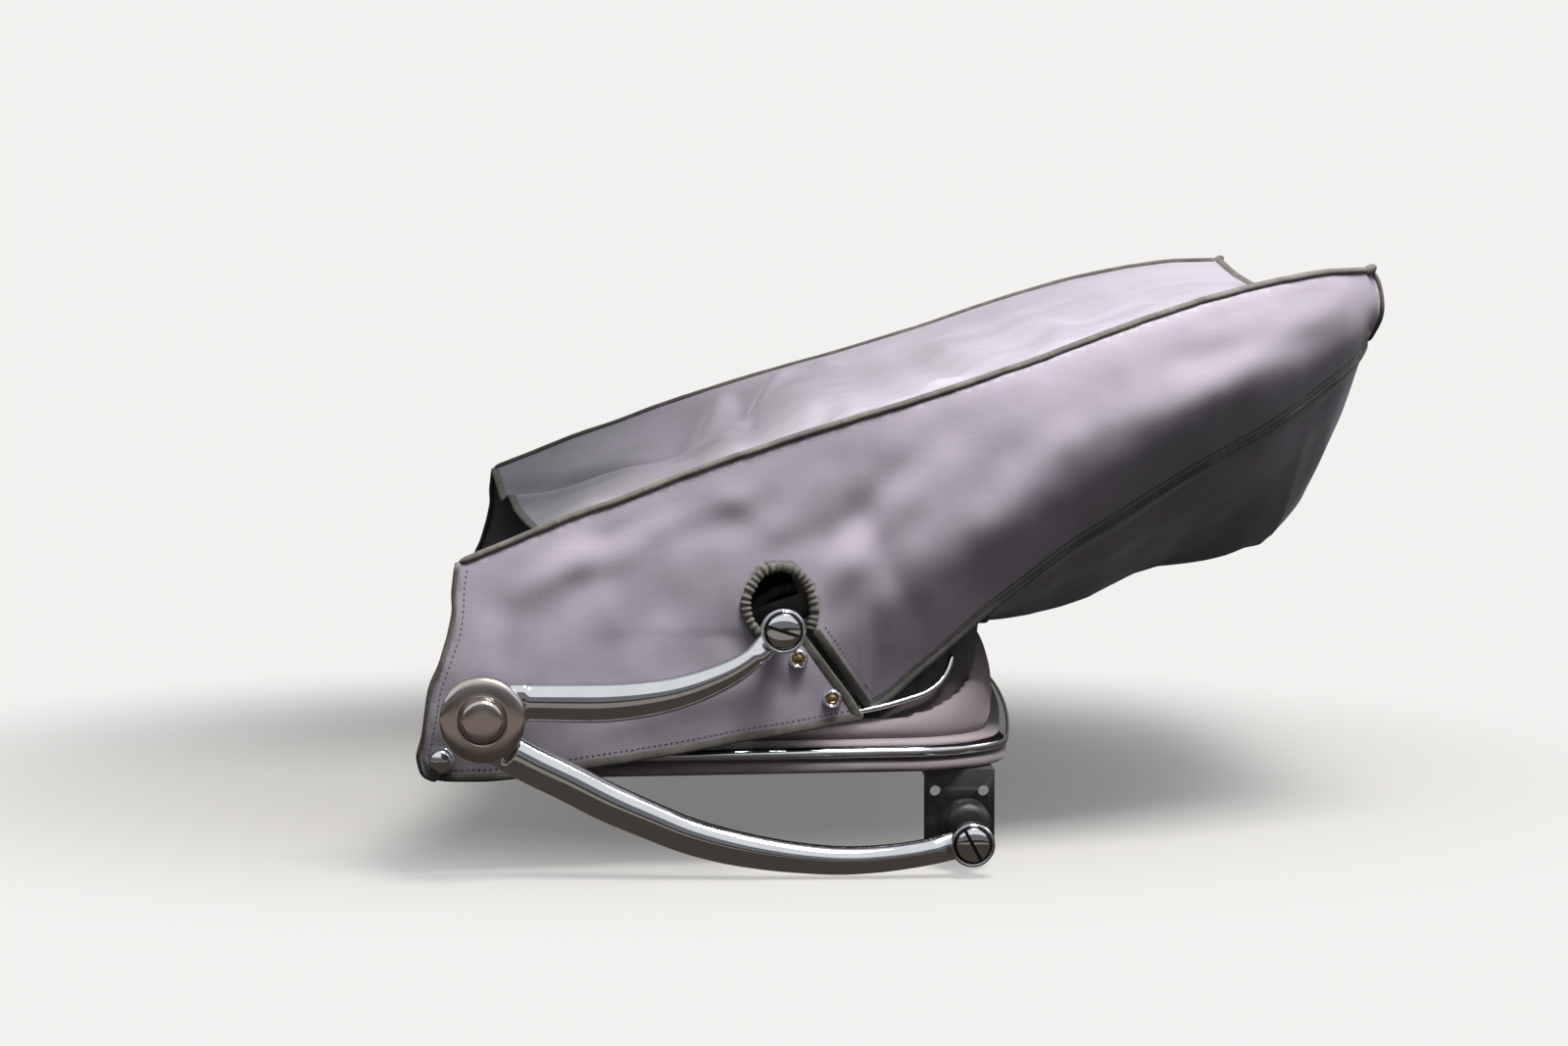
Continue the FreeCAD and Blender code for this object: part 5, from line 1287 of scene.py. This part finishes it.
class HOOD_OT_hood_edge(bpy.types.Operator):
    """Makes the hood's lower edge: padded collar, rolled curtain and the gathered cloth that rises to the bows"""

    bl_idname = "hood.hood_edge"
    bl_label = "Hood Edge"

    def collar(self):
        """The padded collar: a flat tube that stands on the rail, leans outwards and rises round the back."""
        foot, back, dip = 24.0, 200, 8  # across the back the top dips in the middle
        path = rail_path(12.5, foot, -66.0)
        top = np.interp(path[:, 0], [130, 160, 188, 205, 216, 226], [44, 50, 62, 74, 90, 95])
        top = top - dip * np.exp(-((path[:, 1] / 260) ** 2)) * (path[:, 0] > back)
        top = top + 0.8 * noise(61, path[:, 0] / 50, path[:, 1] / 50)
        tall = top[:, None] - foot
        lean = np.interp(path[:, 0], [130, 190, 225], [1.0, 5.0, 13.0])[:, None]
        section = oval(8.0, 1.0, 26, 3.0)
        v = (section[None, :, 1] + 0.5) * tall
        u = section[None, :, 0] - lean * (v / tall) ** 2 + 2.5 * np.sin(v / tall * math.pi)
        piece = tube("collar_pad", path, np.stack([u, v], axis=-1), ends=0)
        plump(piece, 0.0042, 0.0025)
        dress(piece, "hood_duck", "base", "collar")

    def tacked_edge(self):
        """The collar's lower edge, folded over the rail and tacked down behind the moulding."""
        section = np.array([
            (-13.0, 27.0), (-8.0, 26.2), (-3.0, 25.6), (0.3, 24.9), (1.4, 23.6), (1.6, 20.0), (1.6, 4.0), (1.2, 0.6),
            (0.4, 0.4), (0.4, 22.0), (-0.6, 24.2), (-4.0, 24.6), (-13.0, 25.2),
        ])
        dress(tube("tacked_edge", rail_path(0.0, 0.0), section, ends=0), "hood_duck", "base")

    def curtain_roll(self):
        """The padded roll inside the collar."""
        path = rail_path(31.0, 41.0, 44.0)
        path[:, 2] += 1.5 * noise(62, path[:, 0] / 40, path[:, 1] / 40)
        piece = tube("curtain_roll_pad", path, oval(18.0, 31.0, 20, 2.4))
        plump(piece, 0.005, 0.003)
        dress(piece, "hood_lining", "base", "curtain_roll")

    def beads(self):
        """The bright bead that runs up inside the collar on each side."""
        line = smooth_line([
            (70, -559, 44), (92, -557, 48), (109, -554, 51), (125, -550, 54), (141, -545, 58), (155, -541, 62),
            (166, -536, 68), (173, -531, 75), (178, -526, 84), (180, -522, 93),
        ], 70)
        for side, sign in SIDES:
            piece = tube(f"quarter_bead_{side}", line, oval(5.0, 5.0, 14), sign)
            dress(piece, "chromium", "base")

    def quarter_cloth(self):
        """The gathered cloth from the rail up to the bows: a ruled sheet with pleats, fullest half way up."""
        front, pleats = 52.0, 46
        low_x, low_y, low_z = rail_path(17.0, 40.0, front).T
        rows, count = 36, len(low_x)
        rise = np.linspace(0, 1, rows)[:, None]
        run = np.linspace(0, 1, count)
        high_x = STACK_PLACE[0] + (low_x - front) * 0.98 + 22
        high_y = low_y * 0.955
        high_z = stack_plane(high_x) - 8
        belly = np.sin(rise * math.pi)
        pleat = np.sin(run * 2 * math.pi * pleats + 2.0 * noise(63, run * 9))
        swing = belly * (4.5 * pleat + 5.0 * noise(64, run * 40, rise * 3))
        points = np.stack([
            low_x + (high_x - low_x) * rise + swing * 0.5 - 14 * belly,
            low_y + (high_y - low_y) * rise - np.sign(low_y) * (swing + 10 * belly),
            low_z + (high_z - low_z) * rise + 3.0 * np.sin(rise * 3 * math.pi) * pleat,
        ], axis=-1)
        piece = new_mesh("quarter_cloth", points * MM, grid_faces(rows, count))
        walled(piece, 0.0014)
        # Its colour is the back of the duck, darkened further as painted shade.
        dress(piece, "hood_inner", None)
        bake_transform(piece)

    def execute(self, context):
        for make in (self.collar, self.tacked_edge, self.curtain_roll, self.beads, self.quarter_cloth):
            make()
        return {"FINISHED"}


class HOOD_OT_inner_folds(bpy.types.Operator):
    """Makes the hood's own cloth, folded in layers between the bows and rolled up below them"""

    bl_idname = "hood.inner_folds"
    bl_label = "Inner Folds"

    def layers(self):
        """Three layers of folded cloth, each over one bow and as wide as the space between the side rails."""
        rail_gap, lever_gap, front = 34, 11, 53.0
        pitch, lift = 25, 15 + 5.0
        for number in range(3):
            plan = hoop_path(
                front=52, side=RAIL_SIDE - rail_gap - lever_gap, taper=9.5, back=446 + number * 9, bend=2600,
                corner=120, inset=10.0, step=14.0, front_at=front,
            )
            closing = np.linspace(plan[-1, 1], plan[0, 1], 42)[1:-1]
            outline = np.vstack([plan, np.column_stack([np.full(len(closing), front), closing])])
            flat, faces = trimmed_sheet(outline, 13.0)
            ripple = 1.3 * noise(70 + number, flat[:, 0] / 30, flat[:, 1] / 90)
            points = stack_place(flat, number * pitch + lift + ripple)
            piece = new_mesh(f"folded_layer_{number + 1}", points * MM, faces)
            walled(piece, 0.0062)
            applied(piece)
            smoothed(piece)
            dress(piece, "hood_lining", "stack", f"folded_cloth_{number + 1}")

    def curtain(self):
        """The rolled back curtain: rings of a flat bundle below the bows that sags in the middle."""
        rows, columns = 70, 120
        stations = smooth_line([
            (152, 500, -38, -60), (240, 486, -48, -92), (320, 466, -36, -112), (400, 446, -30, -126),
            (470, 412, -24, -150), (532, 378, -26, -160),
        ], rows)
        along, half, rim, sag = (stations[:, k, None] for k in range(4))
        a = circle(columns)
        c, s = np.cos(a), np.sin(a)
        across = np.sign(c) * np.abs(c) ** 0.7
        plane = stack_plane(along)
        low = plane + sag * (1 - np.abs(across) ** 2.4) + rim * np.abs(across) ** 2.4
        top = plane - 5
        wall = (low + top) / 2
        z = np.where(s > 0, wall + (top - wall) * np.abs(s) ** 0.5, wall + (low + 8 - wall) * np.abs(s) ** 0.6)
        y = half * across
        x = np.broadcast_to(along, y.shape)
        folds = 6.0 * noise(81, x / 34, y / 120) + 3.0 * noise(82, x / 14, y / 50)
        z = z + np.where(s < -0.1, np.abs(folds) * 0.8, 0.0)
        ends = tapered(rows, 5)[:, None]
        middle = z.mean(axis=1)[:, None]
        points = np.stack([x, y * (0.9 + 0.1 * ends), middle + (z - middle) * ends], axis=-1)
        piece = from_grid("rolled_back_curtain", points * MM)
        plump(piece, 0.0075, 0.004)
        dress(piece, "hood_lining", "stack", "folded_curtain")

    def execute(self, context):
        self.layers()
        self.curtain()
        return {"FINISHED"}


class HOOD_OT_frame_finish(bpy.types.Operator):
    """Gives the folding frame, its brackets and the rail their wood, enamel and metal"""

    bl_idname = "hood.frame_finish"
    bl_label = "Frame Finish"

    def execute(self, context):
        finishes = {
            "tack_rail": "varnished_ash", "bow_1": "varnished_ash", "bow_2": "varnished_ash", "bow_3": "varnished_ash",
            "header_rail": "varnished_ash", "side_rail": "black_enamel", "main_lever": "black_enamel",
            "pivot_bracket": "black_enamel", "iron_bracket": "black_enamel", "pivot_pin": "zinc_steel",
            "eye_spacer": "zinc_steel",
        }
        for name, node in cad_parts.items():
            part = name.removesuffix("_left").removesuffix("_right")
            if part in finishes:
                node.data.materials.clear()
                node.data.materials.append(finish_for(finishes[part]))
        return {"FINISHED"}


# The stage, in metres

# The floor's colour where it is seen, the colour of its bounced light and the white of the room
FLOOR_PALE, FLOOR_BOUNCE, ROOM_WHITE = "#989693", "#242221", "#f3f1ef"

# The sky's light: the way to its brightest place, the span of nearness to it over which it grows, and its strength at
# each end of that span
SKY_WAY, SKY_SPREAD = (0.4, -0.15, 0.9), (0.25, 0.95, 0.02, 0.9)

# The cards that the metal mirrors: the reach of the near and the far ground, and the tops of the hedge and the wall
NEAR_REACH, FAR_REACH, HEDGE_TOP, WALL_TOP = 1.1, 5.4, 0.37, 1.9

# The photo's camera: its place, its axis to the right and the way it looks, and its lens and film width in millimetres
CAMERA_PLACE = (-0.120, -3.890, 0.452)
CAMERA_RIGHT, CAMERA_WAY = (0.99886, -0.04778, 0.0), (0.04765, 0.99613, -0.07384)
CAMERA_LENS, CAMERA_FILM = 94.05, 36.0


def looked_at(tree):
    """Whether a ray comes from the camera, from polished metal or through clear things."""
    rays = add(tree, "ShaderNodeLightPath").outputs
    seen = combined(tree, "MAXIMUM", rays["Is Camera Ray"], rays["Is Glossy Ray"])
    return combined(tree, "MAXIMUM", seen, rays["Is Transmission Ray"])


def blended(tree, factor, first, second):
    """One shader shown through another by a factor."""
    links = {0: factor, 1: first.outputs[0], 2: second.outputs[0]}
    return add(tree, "ShaderNodeMixShader", links=links)


def painted(tree, kind, colour, **values):
    """A shader of one written colour."""
    return add(tree, kind, values={"Color": (*linear(colour), 1.0), **values})


class HOOD_OT_stage(bpy.types.Operator):
    """Makes the pale floor, the soft light, the surroundings and the camera"""

    bl_idname = "hood.stage"
    bl_label = "Stage"

    def floor(self):
        """A round floor. Its middle takes the object's shadow, and further out it turns to the background's white.

        It is pale where it is looked at, and gives the object only the little light that dark ground would.
        """
        radius = np.array([0.001, 0.6, 1.2, 2.0, 3.0, 5.0, 9.0, 20.0, 60.0])[:, None]
        a = circle(96)
        level = np.full((len(radius), len(a)), cad_low[2] - 0.002)
        points = np.stack([radius * np.cos(a) + 0.15, radius * np.sin(a), level], axis=-1)
        floor = new_mesh("floor", points, grid_faces(*level.shape, False, True))
        if floor.data.polygons[len(a)].normal.z < 0:
            floor.data.flip_normals()
        material = bpy.data.materials.new("pale_floor")
        tree = bare_tree(material)
        plain = painted(tree, "ShaderNodeBsdfDiffuse", FLOOR_PALE)
        dark = painted(tree, "ShaderNodeBsdfDiffuse", FLOOR_BOUNCE)
        glow = painted(tree, "ShaderNodeEmission", ROOM_WHITE, Strength=1.0)
        at = add(tree, "ShaderNodeTexCoord").outputs["Object"]
        far = add(tree, "ShaderNodeVectorMath", {"operation": "LENGTH"}, links={0: at}).outputs["Value"]
        seen = looked_at(tree)
        factor = combined(tree, "MULTIPLY", seen, between(tree, far, 0.38, 1.0, 0.22, 1.0))
        shown = blended(tree, factor, blended(tree, seen, dark, plain), glow)
        add(tree, "ShaderNodeOutputMaterial", links={"Surface": shown.outputs[0]})
        floor.data.materials.append(material)

    def card(self, name, rings, colour):
        """A card round the object that only polished metal mirrors, as a studio puts beside bright work."""
        card = new_mesh(name, rings, grid_faces(*rings.shape[:2], False, True))
        material = bpy.data.materials.new(name)
        tree = bare_tree(material)
        glow = painted(tree, "ShaderNodeEmission", colour, Strength=1.0)
        add(tree, "ShaderNodeOutputMaterial", links={"Surface": glow.outputs[0]})
        card.data.materials.append(material)
        card.visible_camera = card.visible_diffuse = card.visible_shadow = card.visible_transmission = False

    def flag(self):
        """A card hung above the highest the hood rises to, that only casts shadow on the slack front of the cover.

        It thins out to nothing along its edges, as a studio's scrim does, so that its shadow has no hard edge.
        """
        (x0, x1), (y0, y1), height, soft = (-0.40, 0.32), (-0.36, 0.52), 0.86, 0.22
        corners = np.array([(x0, y0, height), (x1, y0, height), (x1, y1, height), (x0, y1, height)])
        flag = new_mesh("shade_flag", corners, [(0, 1, 2, 3)])
        material = bpy.data.materials.new("scrim")
        tree = bare_tree(material)
        at = add(tree, "ShaderNodeSeparateXYZ", links={"Vector": places(tree, "Object")}).outputs
        rises = [
            between(tree, at[way], start, end, *shares)
            for way, low, high in (("X", x0, x1), ("Y", y0, y1))
            for start, end, shares in ((low, low + soft, (0, 1)), (high - soft, high, (1, 0)))
        ]
        density = rises[0]
        for rise in rises[1:]:
            density = combined(tree, "MULTIPLY", density, rise)
        clear = add(tree, "ShaderNodeBsdfTransparent")
        both = blended(tree, density, clear, painted(tree, "ShaderNodeBsdfDiffuse", "#000000"))
        add(tree, "ShaderNodeOutputMaterial", links={"Surface": both.outputs[0]})
        flag.data.materials.append(material)
        flag.visible_camera = flag.visible_diffuse = flag.visible_glossy = flag.visible_transmission = False

    def surroundings(self, context):
        """A white room: seen by camera and metal at full white. Its light on the object comes from overhead."""
        world = bpy.data.worlds.new("white_room")
        tree = bare_tree(world)
        seen = looked_at(tree)
        way = add(tree, "ShaderNodeTexCoord").outputs["Generated"]
        up = add(tree, "ShaderNodeVectorMath", {"operation": "DOT_PRODUCT"}, links={0: way})
        up.inputs[1].default_value = SKY_WAY
        soft = painted(tree, "ShaderNodeBackground", "#eef1f6")
        tree.links.new(between(tree, up.outputs["Value"], *SKY_SPREAD), soft.inputs["Strength"])
        plain = painted(tree, "ShaderNodeBackground", ROOM_WHITE, Strength=1.0)
        mix = blended(tree, seen, soft, plain)
        add(tree, "ShaderNodeOutputWorld", links={"Surface": mix.outputs[0]})
        context.scene.world = world

    def lamp(self, name, place, target, size, power, colour):
        """A soft square lamp turned towards a point."""
        light = bpy.data.lights.new(name, "AREA")
        light.shape, light.size, light.energy = "SQUARE", size, power
        light.color = linear(colour)
        lamp = bpy.data.objects.new(name, light)
        lamp.location = place
        lamp.rotation_euler = (Vector(target) - Vector(place)).to_track_quat("-Z", "Y").to_euler()
        bpy.context.scene.collection.objects.link(lamp)

    def camera(self, context):
        """The photo's camera."""
        camera = bpy.data.cameras.new("photo_camera")
        camera.lens, camera.sensor_width = CAMERA_LENS, CAMERA_FILM
        camera.clip_end = 100.0
        eye = bpy.data.objects.new("photo_camera", camera)
        right, way = Vector(CAMERA_RIGHT).normalized(), Vector(CAMERA_WAY).normalized()
        up = right.cross(way)
        eye.matrix_world = Matrix([*zip(right, up, -way, CAMERA_PLACE), (0, 0, 0, 1)])
        context.scene.collection.objects.link(eye)
        context.scene.camera = eye

    def execute(self, context):
        self.floor()
        self.surroundings(context)
        low = float(cad_low[2]) - 0.001
        rim = ring(1.0, 64)
        under, far = rim * 0.004 + [0.15, 0.0], rim * FAR_REACH
        for name, (inner, inner_z), (outer, outer_z), colour in (
            ("near_ground_card", (under, low), (rim * NEAR_REACH, low), "#4c443e"),
            ("far_ground_card", (rim * NEAR_REACH, low + 0.001), (far, low + 0.001), "#958a81"),
            ("dark_hedge_card", (far, low), (far, HEDGE_TOP), "#31332a"),
            ("grey_wall_card", (far, HEDGE_TOP), (far, WALL_TOP), "#77767a"),
        ):
            rings = [np.column_stack([r, np.full(len(r), z)]) for r, z in ((inner, inner_z), (outer, outer_z))]
            self.card(name, np.stack(rings), colour)
        self.lamp("sky_lamp", (1.7, 0.5, 1.6), (0.3, 0.0, 0.3), 1.2, 14, "#f4f7fd")
        self.lamp("key_lamp", (0.7, -1.38, 2.75), (0.15, -0.45, 0.15), 1.1, 182, "#fdfcfb")
        self.flag()
        self.camera(context)
        context.scene.view_settings.view_transform = "Standard"
        return {"FINISHED"}


class HOOD_PT_panel(bpy.types.Panel):
    """The hood's steps, sizes and colours in the sidebar"""

    bl_idname = "HOOD_PT_panel"
    bl_label = "Folded Hood"
    bl_space_type = "VIEW_3D"
    bl_region_type = "UI"
    bl_category = "Hood"

    def draw(self, context):
        for step in STEPS:
            self.layout.operator(step.bl_idname)
        for group in (context.scene.hood_sizes, context.scene.hood_colours):
            box = self.layout.box()
            for name in group.__annotations__:
                box.prop(group, name)


STEPS = (
    HOOD_OT_cover_sides, HOOD_OT_cover_top, HOOD_OT_cover_bottom, HOOD_OT_cover_trim, HOOD_OT_fasteners,
    HOOD_OT_pram_irons, HOOD_OT_pivot_screws, HOOD_OT_belt_trim, HOOD_OT_hood_edge, HOOD_OT_inner_folds,
    HOOD_OT_frame_finish, HOOD_OT_stage,
)
CLASSES = (HoodSizes, HoodColours, *STEPS, HOOD_PT_panel)


def register():
    """Registers the groups, the steps and the panel."""
    for kind in CLASSES:
        bpy.utils.register_class(kind)
    bpy.types.Scene.hood_sizes = PointerProperty(type=HoodSizes)
    bpy.types.Scene.hood_colours = PointerProperty(type=HoodColours)


def unregister():
    """Takes them away again."""
    del bpy.types.Scene.hood_colours
    del bpy.types.Scene.hood_sizes
    for kind in reversed(CLASSES):
        bpy.utils.unregister_class(kind)


def main():
    """Runs every step in order."""
    register()
    for step in STEPS:
        group, name = step.bl_idname.split(".")
        if getattr(getattr(bpy.ops, group), name)() != {"FINISHED"}:
            raise RuntimeError(f"{step.bl_label} didn't finish")


if __name__ == "__main__":
    main()
